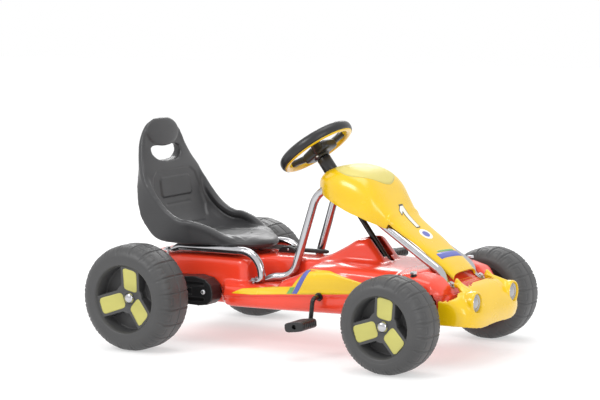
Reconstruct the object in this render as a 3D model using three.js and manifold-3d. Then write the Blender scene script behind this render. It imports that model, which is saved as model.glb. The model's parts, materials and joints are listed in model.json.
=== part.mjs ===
// Pedal go kart for a child of 3 to 6 years: moulded body with the chain drive inside,
// two bent steel frame tubes, bucket seat on two rails, steering column and four plastic wheels.
// Millimetres. +X is the front, +Y is the rider's left, +Z is up, and the floor is Z = 0.
import * as THREE from "three";
import { mergeVertices } from "three/addons/utils/BufferGeometryUtils.js";
import Module from "manifold-3d";

const wasm = await Module();
wasm.setup();

// ---------------------------------------------------------------- driving dimensions
const REAR = { x: -393, r: 143, width: 126, track: 620, ring: 96, dish: 30 };
const FRONT = { x: 373, r: 125, width: 122, track: 582, ring: 84.5, dish: 21 };
// A wheel is turned as this many flats, one of which lies on the floor.
const WHEEL_FLATS = 20;
const AXLE_R = 6;
const WHEEL_BORE = 6.6;
const RUN_GAP = 0.4;
const TUBE_R = 11.3;
const WALL = 4;
const BODY_HALF = 156;
const SEAM = { z: 149.7, slope: 0.0724 };
const CRANK = { x: 88, z: 156, arm: 65, armY: 190, pinEnd: 268 };
const CRANK_TEETH = 20;
const AXLE_TEETH = 12;
const CHAIN = { pitch: 12.7, y: 16, gap: 5.4, plate: 1.4, band: 4.5 };
const COLUMN = { tilt: THREE.MathUtils.degToRad(36.5), x: -9, top: 536 };
const RIM = { r: 98, wide: 12, tall: 16 };
const KINGPIN = { y: 163, arm: 45, r: 7 };
const PITMAN = { reach: 36, spread: 9, pin: 2.6, play: 9.4 };
const PEDAL = { long: 62, wide: 70, thick: 24, y: 232 };
const RAIL = { y: 109, z: 254, bend: 62, rear: -410, front: -190 };
const SHAFT_R = 7.5;
const SLEEVE = { outer: 19 };
const BOLT_R = 4;
const SIDES = [["right", -1], ["left", 1]];

// Where the tubes are bolted down: x, distance from the middle, and z of the underside of the tab.
const BOLT_SPOTS = {
  frame_foot: [-150, 82, 174],
  frame_front: [440, 85, 201],
  rail_foot: [-146, 109, 174],
  rail_rear: [-424, 109, 242.5],
};
const BOLTS = Object.keys(BOLT_SPOTS);

// ---------------------------------------------------------------- materials
const paint = (color, roughness, metalness) => () =>
  new THREE.MeshStandardMaterial({ color, roughness, metalness });
const redPlastic = paint(0xe0301c, 0.3, 0);
const yellowPlastic = paint(0xf5cf12, 0.32, 0);
const greyPlastic = paint(0x4b4b4d, 0.5, 0);
const blackPlastic = paint(0x242425, 0.5, 0);
const tyrePlastic = paint(0x5a5a5b, 0.65, 0);
const chrome = paint(0xd8d9dc, 0.12, 1);
const zinc = paint(0xb4b6ba, 0.35, 1);
const blackSteel = paint(0x1c1c1d, 0.4, 0.4);
const lens = paint(0x9fa3a8, 0.2, 0.3);

// ---------------------------------------------------------------- small tools
const V = (x, y, z) => new THREE.Vector3(x, y, z);

function boltPlace(name, side) {
  const [x, y, z] = BOLT_SPOTS[name];
  return V(x, side * y, z);
}

/** A closed geometry as a manifold solid, with the doubled vertices merged. */
function solid(geometry) {
  const bare = new THREE.BufferGeometry().setAttribute("position", geometry.getAttribute("position"));
  if (geometry.index) bare.setIndex(geometry.index);
  const merged = mergeVertices(bare, 1e-3);
  const kept = [];
  const index = merged.index.array;
  for (let i = 0; i < index.length; i += 3) {
    const [a, b, c] = [index[i], index[i + 1], index[i + 2]];
    if (a !== b && b !== c && c !== a) kept.push(a, b, c);
  }
  return new wasm.Manifold(
    new wasm.Mesh({
      numProp: 3,
      vertProperties: new Float32Array(merged.attributes.position.array),
      triVerts: new Uint32Array(kept),
    }),
  );
}

/** A manifold solid as a three.js geometry. */
function geometryOf(body) {
  const mesh = body.getMesh();
  return new THREE.BufferGeometry()
    .setAttribute("position", new THREE.BufferAttribute(new Float32Array(mesh.vertProperties), 3))
    .setIndex(new THREE.BufferAttribute(new Uint32Array(mesh.triVerts), 1));
}

const joined = (bodies) => bodies.reduce((sum, one) => sum.add(one));
const cutBy = (body, tools) => tools.reduce((left, tool) => left.subtract(tool), body);

const kart = new THREE.Group();

/** Adds one named sub-part to the kart. */
function addPart(name, shape, material) {
  const geometry = shape.isBufferGeometry ? geometryOf(solid(shape)) : geometryOf(shape);
  geometry.computeVertexNormals();
  const mesh = new THREE.Mesh(geometry, material());
  mesh.name = name;
  kart.add(mesh);
  return mesh;
}

/** A box from its size and centre, optionally turned about Y. */
function box(sx, sy, sz, at, turnY = 0) {
  const g = new THREE.BoxGeometry(sx, sy, sz);
  g.rotateY(turnY);
  g.translate(at.x, at.y, at.z);
  return solid(g);
}

/** A straight rod between two points. */
function rod(from, to, radius, sides = 12, endRadius = radius) {
  const axis = to.clone().sub(from);
  const g = new THREE.CylinderGeometry(endRadius, radius, axis.length(), sides);
  g.translate(0, axis.length() / 2, 0);
  g.applyQuaternion(new THREE.Quaternion().setFromUnitVectors(V(0, 1, 0), axis.clone().normalize()));
  g.translate(from.x, from.y, from.z);
  return solid(g);
}

/** A rod along Y at (x, z), between two Y values. */
const rodY = (x, z, y0, y1, radius, sides = 12) => rod(V(x, y0, z), V(x, y1, z), radius, sides);
/** A rod along Z at (x, y), between two Z values. */
const rodZ = (x, y, z0, z1, radius, sides = 12) => rod(V(x, y, z0), V(x, y, z1), radius, sides);

/** A closed solid through rings of equally many points, with flat fans over both ends. */
function loft(rings) {
  const count = rings[0].length;
  const points = rings.flat();
  const middle = (ring) => ring.reduce((sum, p) => sum.add(p), V(0, 0, 0)).divideScalar(count);
  const first = points.push(middle(rings[0])) - 1;
  const last = points.push(middle(rings[rings.length - 1])) - 1;
  const faces = [];
  const end = (rings.length - 1) * count;
  for (let k = 0; k < count; k++) {
    const next = (k + 1) % count;
    faces.push(first, next, k);
    faces.push(last, end + k, end + next);
    for (let i = 0; i < end; i += count) {
      faces.push(i + k, i + next, i + count + k);
      faces.push(i + next, i + count + next, i + count + k);
    }
  }
  const g = new THREE.BufferGeometry().setFromPoints(points).setIndex(faces);
  const body = solid(g);
  return body.volume() > 0 ? body : solid(g.setIndex(faces.reverse()));
}

/** A cross-section ring at x: a rounded rectangle of half-width w between zb and zt. */
function hullRing(x, w, zb, zt, corners, count = 16) {
  const middle = (zb + zt) / 2;
  const half = (zt - zb) / 2;
  const ring = [];
  for (let k = 0; k < count; k++) {
    const a = (2 * Math.PI * (k + 0.5)) / count;
    const bend = (t) => Math.sign(t) * Math.abs(t) ** (2 / corners);
    ring.push(V(x, w * bend(Math.cos(a)), middle + half * bend(Math.sin(a))));
  }
  return ring;
}

/** A body block from stations [x, half-width, bottom, top], shrunk by inset for its hollow. */
function block(stations, corners, inset = 0, insetFloor = inset) {
  const lastOne = stations.length - 1;
  return loft(
    stations.map(([x, w, zb, zt], i) => {
      const shift = i === 0 ? inset : i === lastOne ? -inset : 0;
      return hullRing(x + shift, w - inset, zb + insetFloor, zt - inset, corners);
    }),
  );
}

/** A closed solid between two grids of points with the same rows and columns. */
function sheet(front, back) {
  const [rows, columns] = [front.length, front[0].length];
  const points = [...front.flat(), ...back.flat()];
  const id = (layer, i, j) => layer * rows * columns + i * columns + j;
  const faces = [];
  const quad = (a, b, c, d) => faces.push(a, b, c, a, c, d);
  for (let i = 0; i + 1 < rows; i++) {
    for (let j = 0; j + 1 < columns; j++) {
      quad(id(0, i, j), id(0, i, j + 1), id(0, i + 1, j + 1), id(0, i + 1, j));
      quad(id(1, i, j), id(1, i + 1, j), id(1, i + 1, j + 1), id(1, i, j + 1));
    }
    quad(id(0, i, 0), id(0, i + 1, 0), id(1, i + 1, 0), id(1, i, 0));
    quad(id(0, i, columns - 1), id(1, i, columns - 1), id(1, i + 1, columns - 1), id(0, i + 1, columns - 1));
  }
  for (let j = 0; j + 1 < columns; j++) {
    quad(id(0, 0, j), id(1, 0, j), id(1, 0, j + 1), id(0, 0, j + 1));
    quad(id(0, rows - 1, j), id(0, rows - 1, j + 1), id(1, rows - 1, j + 1), id(1, rows - 1, j));
  }
  const body = solid(new THREE.BufferGeometry().setFromPoints(points).setIndex(faces));
  return body.volume() > 0 ? body : solid(new THREE.BufferGeometry().setFromPoints(points).setIndex(faces.reverse()));
}

/** A tube path: straight runs between the corners, each corner rounded with its own radius. */
function bentPath(corners, radii) {
  const path = new THREE.CurvePath();
  let from = corners[0];
  for (let i = 1; i < corners.length - 1; i++) {
    const back = corners[i - 1].clone().sub(corners[i]).normalize();
    const ahead = corners[i + 1].clone().sub(corners[i]).normalize();
    const reach = radii[i - 1] / Math.tan(back.angleTo(ahead) / 2);
    const start = corners[i].clone().addScaledVector(back, reach);
    const stop = corners[i].clone().addScaledVector(ahead, reach);
    path.add(new THREE.LineCurve3(from, start));
    path.add(new THREE.QuadraticBezierCurve3(start, corners[i].clone(), stop));
    from = stop;
  }
  path.add(new THREE.LineCurve3(from, corners[corners.length - 1]));
  return path;
}

/** A round bar along a path. */
function tube(path, radius, steps, sides = 4) {
  const section = new THREE.Shape().absarc(0, 0, radius, 0, 2 * Math.PI);
  const g = new THREE.ExtrudeGeometry(section, {
    steps,
    curveSegments: sides,
    bevelEnabled: false,
    extrudePath: path,
  });
  return solid(g);
}

/** An outline drawn in X and Z, made into a plate between two Y values. */
function plateY(shape, y0, y1, curveSegments = 12) {
  const g = new THREE.ExtrudeGeometry(shape, { depth: y1 - y0, bevelEnabled: false, curveSegments });
  g.rotateX(Math.PI / 2);
  g.translate(0, y1, 0);
  return solid(g);
}

/** A point on the steering column: s along it from the rim's middle, off sideways in its plane. */
function onColumn(s, off = 0, y = 0) {
  const [sin, cos] = [Math.sin(COLUMN.tilt), Math.cos(COLUMN.tilt)];
  return V(COLUMN.x + s * sin - off * cos, y, COLUMN.top - s * cos - off * sin);
}

/** Turns a geometry made around +Z so that +Z runs up the column, and moves it to s along it. */
function toColumn(geometry, s) {
  const at = onColumn(s);
  geometry.rotateY(-COLUMN.tilt);
  geometry.translate(at.x, at.y, at.z);
  return solid(geometry);
}

// ---------------------------------------------------------------- wheels
/** A wheel about Y with its outer face towards -Y: rounded shoulders, dished face, hollow back. */
function wheelProfile({ r, width, ring, dish }) {
  const out = -width / 2;
  const inner = width / 2;
  const shoulder = { axial: 45, radial: 25 };
  const profile = [
    [WHEEL_BORE, out + dish + 4],
    [24, out + dish + 4],
    [ring - 8, out + 10],
    [ring, out],
  ];
  for (const [edge, way] of [[out, 1], [inner, -1]]) {
    for (let k = 0; k <= 2; k++) {
      const a = ((way > 0 ? k : 2 - k) * Math.PI) / 4;
      const drop = shoulder.radial * (1 - Math.sin(a));
      profile.push([r - drop, edge + way * shoulder.axial * (1 - Math.cos(a))]);
    }
  }
  profile.push([ring, inner], [ring - 6, inner - 70], [26, inner - 70], [24, inner - 16]);
  profile.push([WHEEL_BORE, inner - 16], profile[0]);
  const toFlat = 1 / Math.cos(Math.PI / WHEEL_FLATS);
  return profile.map(([radius, y]) => new THREE.Vector2(radius * toFlat, y));
}

/** One of the three recesses between the spokes, as a tool about the wheel's axis. */
function pocketTool({ width, ring }, middle) {
  const outer = ring - 7;
  const spread = Math.PI / 3 - Math.asin(30 / outer);
  const inner = 42;
  const shape = new THREE.Shape();
  shape.moveTo(inner * Math.cos(middle), inner * Math.sin(middle));
  shape.lineTo(outer * Math.cos(middle - spread), outer * Math.sin(middle - spread));
  shape.absarc(0, 0, outer, middle - spread, middle + spread, false);
  shape.closePath();
  return plateY(shape, -width, -width / 2 + 38, 4);
}

function wheel(size, side) {
  const body = solid(new THREE.LatheGeometry(wheelProfile(size), WHEEL_FLATS, Math.PI / WHEEL_FLATS));
  const upright = THREE.MathUtils.degToRad(78);
  const pockets = [1, 3, 5].map((k) => pocketTool(size, upright + (k * Math.PI) / 3));
  const g = geometryOf(cutBy(body, pockets));
  if (side > 0) g.rotateZ(Math.PI);
  g.translate(size.x, (side * size.track) / 2, size.r);
  return g;
}

/** The chromed cap that snaps over a wheel's hub. */
function hubCap(size, side) {
  const profile = [[0, -8.5], [6, -8], [11, -6], [14.5, -2.5], [15, 3.5], [0, 3.5]];
  const points = profile.map(([radius, y]) => new THREE.Vector2(radius, y));
  const g = new THREE.LatheGeometry(points, 16);
  g.translate(0, -size.width / 2 + size.dish, 0);
  if (side > 0) g.rotateZ(Math.PI);
  g.translate(size.x, (side * size.track) / 2, size.r);
  return g;
}

for (const [name, side] of SIDES) {
  addPart(`rear_wheel_${name}`, wheel(REAR, side), tyrePlastic);
  addPart(`front_wheel_${name}`, wheel(FRONT, side), tyrePlastic);
  addPart(`rear_hub_cap_${name}`, hubCap(REAR, side), chrome);
  addPart(`front_hub_cap_${name}`, hubCap(FRONT, side), chrome);
}

// ---------------------------------------------------------------- moulded body
// Stations are x, half-width, bottom, top.
const HULL = [
  [-486, 94, 128, 200],
  [-474, 108, 108, 206],
  [-300, 110, 102, 190],
  [-238, 112, 101, 178],
  [-213, 148, 101, 172],
  [-190, BODY_HALF, 101, 170],
  [-60, BODY_HALF, 102, 173],
  [110, BODY_HALF, 104, 190],
  [250, 152, 106, 190],
  [320, 156, 108, 190],
  [430, 156, 108, 190],
  [462, 138, 118, 182],
];
const SEAT_BLOCK = [
  [-489, 88, 160, 236],
  [-476, 106, 150, 241],
  [-300, 112, 150, 240],
  [-186, 112, 150, 238],
  [-166, 104, 160, 230],
];
const SPINE = [
  [-200, 46, 150, 237],
  [-24, 46, 150, 238],
  [-12, 58, 150, 238],
  [60, 58, 150, 238],
];
const SHOULDERS = [
  [-46, 142, 150, 188],
  [0, 152, 150, 205],
  [50, 154, 150, 236],
  [120, 154, 150, 244],
  [230, 150, 150, 240],
  [330, 150, 150, 234],
];
const HUMP = [
  [18, 50, 180, 240],
  [60, 58, 180, 254],
  [110, 62, 180, 280],
  [140, 62, 180, 299],
  [172, 60, 180, 302],
  [196, 60, 180, 272],
  [222, 58, 180, 240],
];
const FRONT_DECK = [
  [285, 140, 165, 226],
  [330, 176, 165, 238],
  [380, 184, 165, 241],
  [425, 180, 165, 228],
  [450, 156, 165, 204],
];

const FRONT_RAMP = { x: 440, z: 200.6, turn: Math.atan2(246, 388) };

/** The ramp under the hood's tongue and tube ends, and the channels that the tubes' legs stand in. */
function recesses(inset) {
  const ramp = new THREE.BoxGeometry(160, 200 + 2 * inset, 80);
  ramp.translate(-50, 0, 40 - inset);
  ramp.rotateY(FRONT_RAMP.turn);
  ramp.translate(FRONT_RAMP.x, 0, FRONT_RAMP.z);
  const channels = SIDES.map(([, side]) =>
    rod(frameFoot(side), frameApex(side), TUBE_R + 1.6 + inset, 12),
  );
  return [solid(ramp), ...channels];
}

/** The outer form of the body, or the hollow inside it when inset is the wall. */
function bodyForm(inset) {
  const blocks = [
    block(HULL, 5, inset),
    block(SEAT_BLOCK, 5, inset, 0),
    block(SPINE, 7, inset, 0),
    block(SHOULDERS, 4, inset, 0),
    block(HUMP, 5, inset, 0),
    block(FRONT_DECK, 4, inset, 0),
  ];
  return cutBy(joined(blocks), recesses(inset));
}

const frameFront = (side) => V(428, side * 84, 222.5);
const frameApex = (side) => V(40, side * 54, 466);
const frameFoot = (side) => V(-52, side * 59.5, 185);
const frameRear = (side) => V(-128, side * 78, 185);

/** How far a bolt leans forward: only the ones on the front ramp do. */
const boltTilt = (name) => (name === "frame_front" ? FRONT_RAMP.turn : 0);

function boltHole(name, side) {
  const lean = THREE.MathUtils.radToDeg(boltTilt(name));
  const { x, y, z } = boltPlace(name, side);
  return rodZ(0, 0, -30, 20, BOLT_R + 0.7, 8).rotate([0, lean, 0]).translate([x, y, z]);
}

/** Everything that passes through the moulded body, as cutting tools. */
function bodyOpenings() {
  const tools = [
    rodY(CRANK.x, CRANK.z, -200, 200, 11, 20),
    rodY(REAR.x, REAR.r, -200, 200, 13, 20),
    rod(onColumn(250), onColumn(430), 15, 16),
    box(60, 56, 110, onColumn(305, -18), -COLUMN.tilt),
  ];
  for (const [, side] of SIDES) {
    tools.push(rodZ(FRONT.x, side * KINGPIN.y, 80, 260, KINGPIN.r + RUN_GAP + 0.4, 16));
    tools.push(box(140, 94, 76, V(FRONT.x - 10, side * 192, 150)));
    tools.push(...BOLTS.map((name) => boltHole(name, side)));
  }
  return tools;
}

/** Everything above (way 1) or below (way -1) the sloping seam between the body's two halves. */
function besideSeam(way) {
  const g = new THREE.BoxGeometry(1300, 500, 200);
  g.translate(0, 0, way * 100.2);
  g.rotateY(-Math.atan(SEAM.slope));
  g.translate(0, 0, SEAM.z);
  return solid(g);
}

const bodyShell = cutBy(bodyForm(0).subtract(bodyForm(WALL)), bodyOpenings());
addPart("body_upper_shell", bodyShell.intersect(besideSeam(1)), redPlastic);
addPart("body_lower_shell", bodyShell.intersect(besideSeam(-1)), redPlastic);

// ---------------------------------------------------------------- nose bumper and headlights
const NOSE = { half: 163, rear: 442, corners: 4.5, wall: 4 };
const LAMP = { x: 529, y: 107, z: 164, r: 24 };
// Rows from the top edge to the bottom edge: how far the front stands ahead of the rear, and z.
const NOSE_ROWS = [
  [34, 207],
  [60, 194],
  [80, 170],
  [92, 140],
  [94, 116],
  [88, 92],
];

/** Height of a bumper row at the side, where its top edge drops and its lower edge rises. */
function noseHeight(z, y) {
  const side = Math.abs(y / NOSE.half) ** 4;
  const middle = 142;
  const squeeze = z > middle ? 0.6 : 0.5;
  return z + (middle - z) * side * squeeze;
}

function noseGrid(inset) {
  const columns = 16;
  return NOSE_ROWS.map(([reach, z]) => {
    const row = [];
    for (let k = 0; k <= columns; k++) {
      const a = Math.PI * (k / columns - 0.5);
      const bend = (t) => Math.sign(t) * Math.abs(t) ** (2 / NOSE.corners);
      const y = (NOSE.half - inset) * bend(Math.sin(a));
      row.push(V(NOSE.rear + (reach - inset) * Math.abs(bend(Math.cos(a))), y, noseHeight(z, y)));
    }
    return row;
  });
}

function bumper() {
  const lampFront = (side, r, x0, x1) => rod(V(x0, side * LAMP.y, LAMP.z), V(x1, side * LAMP.y, LAMP.z), r, 20);
  const bulges = SIDES.map(([, side]) => lampFront(side, LAMP.r + 5, 500, LAMP.x));
  const seats = SIDES.map(([, side]) => lampFront(side, LAMP.r + 0.4, LAMP.x - 6, LAMP.x + 20));
  const ears = SIDES.map(([, side]) => ear(side));
  return cutBy(joined([sheet(noseGrid(0), noseGrid(NOSE.wall)), ...bulges, ...ears]), seats);
}

/** One of the two pointed ears on the bumper's top edge. */
function ear(side) {
  const shape = new THREE.Shape();
  shape.moveTo(456, 219);
  shape.lineTo(463, 196);
  shape.lineTo(500, 192);
  shape.closePath();
  return plateY(shape, side * 88 - 5, side * 88 + 5);
}

addPart("front_bumper", bumper(), yellowPlastic);
for (const [name, side] of SIDES) {
  const face = V(LAMP.x - 0.5, side * LAMP.y, LAMP.z);
  addPart(`headlight_${name}`, rod(face.clone().setX(LAMP.x - 5.6), face, LAMP.r, 20, LAMP.r - 2), lens);
}

// ---------------------------------------------------------------- hood
// Stations x, half-width, height of the top, height of the lower edge.
const HOOD = [
  [20, 28, 450, 440],
  [29, 46, 464, 430],
  [48, 68, 478, 418],
  [76, 91, 488, 408],
  [110, 105, 493, 395],
  [150, 110, 488, 378],
  [185, 110, 474, 366],
  [210, 107, 452, 356],
  [232, 96, 418, 346],
  [250, 88, 388, 338],
  [258, 85, 377, 349],
  [270, 77, 362, 337],
  [300, 76, 335, 318],
  [340, 73, 306, 293],
  [380, 68, 278, 256],
  [410, 66, 256, 234],
  [438, 63, 229, 211],
];

function hoodGrid(inset) {
  const columns = 10;
  return HOOD.map(([x, half, top, edge], i) => {
    const row = [];
    const lip = i === 0 ? inset : i === HOOD.length - 1 ? -inset : 0;
    for (let k = 0; k <= columns; k++) {
      const a = (Math.PI * k) / columns;
      const bend = (t) => Math.sign(t) * Math.abs(t) ** (2 / 3.4);
      const rise = top - edge - inset;
      row.push(V(x + lip, (half - inset) * -bend(Math.cos(a)), edge + rise * bend(Math.sin(a))));
    }
    return row;
  });
}

const framePath = (side) =>
  bentPath([frameRear(side), frameFoot(side), frameApex(side), frameFront(side)], [48, 65]);

/** The hood, with the holes that the steering column and the two frame tubes come through. */
function hood() {
  const tubes = SIDES.map(([, side]) => tube(framePath(side), TUBE_R + 1.4, 28));
  const sleeve = rod(onColumn(40), onColumn(130), SLEEVE.outer + 0.6, 20);
  return cutBy(sheet(hoodGrid(0), hoodGrid(NOSE.wall)), [sleeve, ...tubes]);
}

addPart("hood", hood(), yellowPlastic);

// ---------------------------------------------------------------- frame tubes and seat rails
/** A flattened, drilled tube end as a plate with a round nose. */
function tubeTab(at, length, turnY = 0, turnZ = 0) {
  const shape = new THREE.Shape();
  shape.moveTo(-length, -TUBE_R - 1);
  shape.lineTo(0, -TUBE_R - 1);
  shape.absarc(0, 0, TUBE_R + 1, -Math.PI / 2, Math.PI / 2, false);
  shape.lineTo(-length, TUBE_R + 1);
  shape.closePath();
  shape.holes.push(new THREE.Path().absarc(0, 0, BOLT_R + RUN_GAP, 0, 2 * Math.PI, true));
  const g = new THREE.ExtrudeGeometry(shape, { depth: 3.2, bevelEnabled: false, curveSegments: 6 });
  g.rotateZ(turnZ);
  g.rotateY(turnY);
  g.translate(at.x, at.y, at.z);
  return solid(g);
}

function frameTube(side) {
  const rearTurn = Math.atan2(frameRear(side).y - frameFoot(side).y, frameRear(side).x - frameFoot(side).x);
  return joined([
    tube(framePath(side), TUBE_R, 28),
    tubeTab(boltPlace("frame_foot", side), 34, 0, rearTurn),
    tubeTab(boltPlace("frame_front", side), 26, FRONT_RAMP.turn, 0),
  ]);
}

function seatRail(side) {
  const [rear, foot] = [boltPlace("rail_rear", side), boltPlace("rail_foot", side)];
  const corners = [V(rear.x + 14, side * RAIL.y, RAIL.z), V(foot.x + 26, side * RAIL.y, RAIL.z)];
  corners.push(V(foot.x + 26, side * RAIL.y, foot.z + 3));
  return joined([
    tube(bentPath(corners, [RAIL.bend]), TUBE_R, 16),
    tubeTab(rear, 28, 0, Math.PI),
    tubeTab(foot, 26, 0, Math.PI),
  ]);
}

/** A hexagon-headed bolt standing on its tab, with the shank down through the body's skin. */
function standingBolt(name, side) {
  const lean = THREE.MathUtils.radToDeg(boltTilt(name));
  const { x, y, z } = boltPlace(name, side);
  const bolt = rodZ(0, 0, 3.6, 8.6, 7, 6).add(rodZ(0, 0, -14, 4, BOLT_R, 8));
  return bolt.rotate([0, lean, 0]).translate([x, y, z]);
}

for (const [name, side] of SIDES) {
  addPart(`frame_tube_${name}`, frameTube(side), chrome);
  addPart(`seat_rail_${name}`, seatRail(side), chrome);
  for (const place of BOLTS) addPart(`${place}_bolt_${name}`, standingBolt(place, side), zinc);
}

// ---------------------------------------------------------------- seat
// Rows from the front lip to the top: the upper surface's x and z in the middle, its x,
// half-width and z at the rim, then the back's x and z in the middle and at the rim.
const SEAT = [
  [-128, 268, -168, 108, 269, -130, 266, -170, 266.5],
  [-123, 280, -172, 114, 282, -136, 266, -176, 266],
  [-142, 294, -190, 124, 298, -152, 267, -200, 266],
  [-200, 295, -235, 133, 309, -204, 268, -240, 266],
  [-290, 284, -295, 141, 325, -292, 266, -300, 266],
  [-378, 289, -360, 145, 334, -392, 267, -372, 266],
  [-430, 317, -405, 147, 356, -462, 284, -433, 272],
  [-457, 363, -440, 147, 392, -498, 342, -474, 303],
  [-467, 408, -464, 146, 425, -511, 404, -499, 342],
  [-473, 450, -484, 138, 458, -513, 450, -511, 400],
  [-490, 490, -500, 122, 490, -522, 494, -517, 446],
  [-505, 528, -508, 108, 524, -525, 530, -522, 500],
  [-511, 562, -511, 94, 556, -526, 564, -525, 544],
  [-514, 582, -514, 70, 580, -526, 584, -526, 578],
  [-517, 598, -517, 34, 596, -523, 598, -523, 596],
];

/** The seat's upper surface, or its back when behind is 1. */
function seatGrid(behind) {
  const columns = 10;
  return SEAT.map(([x, z, rimX, half, rimZ, backX, backZ, rimBackX, rimBackZ]) => {
    const middle = behind ? V(backX, 0, backZ) : V(x, 0, z);
    const rim = behind ? V(rimBackX, 0, rimBackZ) : V(rimX, 0, rimZ);
    const row = [];
    for (let k = 0; k <= columns; k++) {
      const u = (2 * k) / columns - 1;
      const point = middle.clone().lerp(rim, Math.abs(u) ** 3);
      row.push(point.setY((half - 6 * behind) * Math.sin((u * Math.PI) / 2)));
    }
    return row;
  });
}

function seat() {
  const slot = new THREE.Shape();
  slot.moveTo(-66, -20);
  slot.quadraticCurveTo(0, -30, 66, -20);
  slot.lineTo(66, 22);
  slot.quadraticCurveTo(0, 12, -66, 22);
  slot.closePath();
  const g = new THREE.ExtrudeGeometry(slot, { depth: 200, bevelEnabled: false, curveSegments: 6 });
  g.rotateX(Math.PI / 2);
  g.rotateZ(Math.PI / 2);
  g.translate(-600, 0, 504);
  return sheet(seatGrid(0), seatGrid(1)).subtract(solid(g));
}

addPart("seat", seat(), greyPlastic);

// ---------------------------------------------------------------- rear axle and its brackets
function axleBracket(side) {
  const shape = new THREE.Shape();
  shape.moveTo(-432, 112);
  shape.lineTo(-290, 104);
  shape.quadraticCurveTo(-243, 108, -243, 142);
  shape.quadraticCurveTo(-243, 166, -268, 178);
  shape.lineTo(-300, 185);
  shape.lineTo(-432, 178);
  shape.closePath();
  const plate = plateY(shape, Math.min(side * 116, side * 166), Math.max(side * 116, side * 166), 5);
  return plate.subtract(rodY(REAR.x, REAR.r, -200, 200, 13, 20));
}

function ring(x, z, y0, y1, outer, inner) {
  return rodY(x, z, y0, y1, outer, 20).subtract(rodY(x, z, y0 - 1, y1 + 1, inner, 16));
}

const axleHalf = (REAR.track + REAR.width) / 2 - REAR.dish - 4.4;
addPart("rear_axle", rodY(REAR.x, REAR.r, -axleHalf, axleHalf, AXLE_R), zinc);
for (const [name, side] of SIDES) {
  const bolt = V(-272, side * 166.3, 143);
  const tip = bolt.clone().setY(side * 171);
  addPart(`axle_bracket_${name}`, axleBracket(side), blackPlastic);
  addPart(`bracket_bolt_${name}`, rod(bolt, tip, 7, 10, 5), zinc);
  const [y0, y1] = side > 0 ? [100, 174] : [-174, -100];
  addPart(`axle_bush_${name}`, ring(REAR.x, REAR.r, y0, y1, 12.5, AXLE_R + RUN_GAP), greyPlastic);
}

// ---------------------------------------------------------------- chain drive
const pitchRadius = (teeth) => CHAIN.pitch / (2 * Math.sin(Math.PI / teeth));

function sprocket(x, z, teeth) {
  const shape = new THREE.Shape();
  const r = pitchRadius(teeth);
  for (let k = 0; k < teeth; k++) {
    for (const [part, reach] of [[0.05, -3.4], [0.36, 2.6], [0.64, 2.6], [0.95, -3.4]]) {
      const a = (2 * Math.PI * (k + part)) / teeth;
      const spot = [(r + reach) * Math.cos(a), (r + reach) * Math.sin(a)];
      if (k + part < 0.1) shape.moveTo(...spot);
      else shape.lineTo(...spot);
    }
  }
  shape.closePath();
  shape.holes.push(new THREE.Path().absarc(0, 0, AXLE_R + RUN_GAP, 0, 2 * Math.PI, true));
  const body = plateY(shape, CHAIN.y - 1.5, CHAIN.y + 1.5, 8);
  return body.translate([x, 0, z]);
}

/** The loop that the chain follows, moved outward by offset. */
function chainLoop(offset, kind = THREE.Shape) {
  const [big, small] = [pitchRadius(CRANK_TEETH), pitchRadius(AXLE_TEETH)];
  const [dx, dz] = [REAR.x - CRANK.x, REAR.r - CRANK.z];
  const heading = Math.atan2(dz, dx);
  const wrap = Math.acos((big - small) / Math.hypot(dx, dz));
  const loop = new kind();
  loop.absarc(CRANK.x, CRANK.z, big + offset, heading + wrap, heading - wrap + 2 * Math.PI, false);
  loop.absarc(REAR.x, REAR.r, small + offset, heading - wrap, heading + wrap, false);
  loop.closePath();
  return loop;
}

function chain() {
  const half = CHAIN.gap / 2;
  const bodies = [];
  for (const way of [-1, 1]) {
    const loop = chainLoop(CHAIN.band);
    loop.holes.push(chainLoop(-CHAIN.band, THREE.Path));
    const near = CHAIN.y + way * half;
    const far = near + way * CHAIN.plate;
    bodies.push(plateY(loop, Math.min(near, far), Math.max(near, far), 8));
  }
  const [big, small] = [pitchRadius(CRANK_TEETH), pitchRadius(AXLE_TEETH)];
  for (const along of [0.25, 0.42, 0.58, 0.75]) {
    const x = CRANK.x + (REAR.x - CRANK.x) * along;
    const z = CRANK.z + (REAR.r - CRANK.z) * along;
    const r = big + (small - big) * along;
    for (const way of [-1, 1]) {
      bodies.push(rodY(x, z + way * r, CHAIN.y - half - 1, CHAIN.y + half + 1, 3, 8));
    }
  }
  return joined(bodies);
}

/** The crank's two arms point opposite ways; this is the arm from the axis to one pedal pin. */
const armOffset = (side) => V(side * 8, 0, side * 64.5);

function crankshaft() {
  const bodies = [rodY(CRANK.x, CRANK.z, -CRANK.armY - 5, CRANK.armY + 5, AXLE_R)];
  for (const [, side] of SIDES) {
    const hub = V(CRANK.x, side * CRANK.armY, CRANK.z);
    const pin = hub.clone().add(armOffset(side));
    bodies.push(rod(hub, pin, AXLE_R));
    const start = pin.clone().setY(side * (CRANK.armY - 5));
    bodies.push(rod(start, pin.clone().setY(side * CRANK.pinEnd), AXLE_R - 0.5));
  }
  return joined(bodies);
}

function pedal(side) {
  const { x, z } = V(CRANK.x, 0, CRANK.z).add(armOffset(side));
  const y = side * PEDAL.y;
  const outline = new THREE.Shape();
  const [h, t] = [PEDAL.long / 2, PEDAL.thick / 2];
  outline.moveTo(-h, -t + 6);
  outline.lineTo(-h + 8, -t);
  outline.lineTo(h - 8, -t);
  outline.lineTo(h, -t + 6);
  outline.lineTo(h, t - 6);
  outline.lineTo(h - 8, t);
  outline.lineTo(-h + 8, t);
  outline.lineTo(-h, t - 6);
  outline.closePath();
  let body = plateY(outline, y - PEDAL.wide / 2, y + PEDAL.wide / 2).rotate([0, 8, 0]).translate([x, 0, z]);
  body = body.subtract(rodY(x, z, y - 60, y + 60, AXLE_R - 0.5 + RUN_GAP));
  return body;
}

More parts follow.
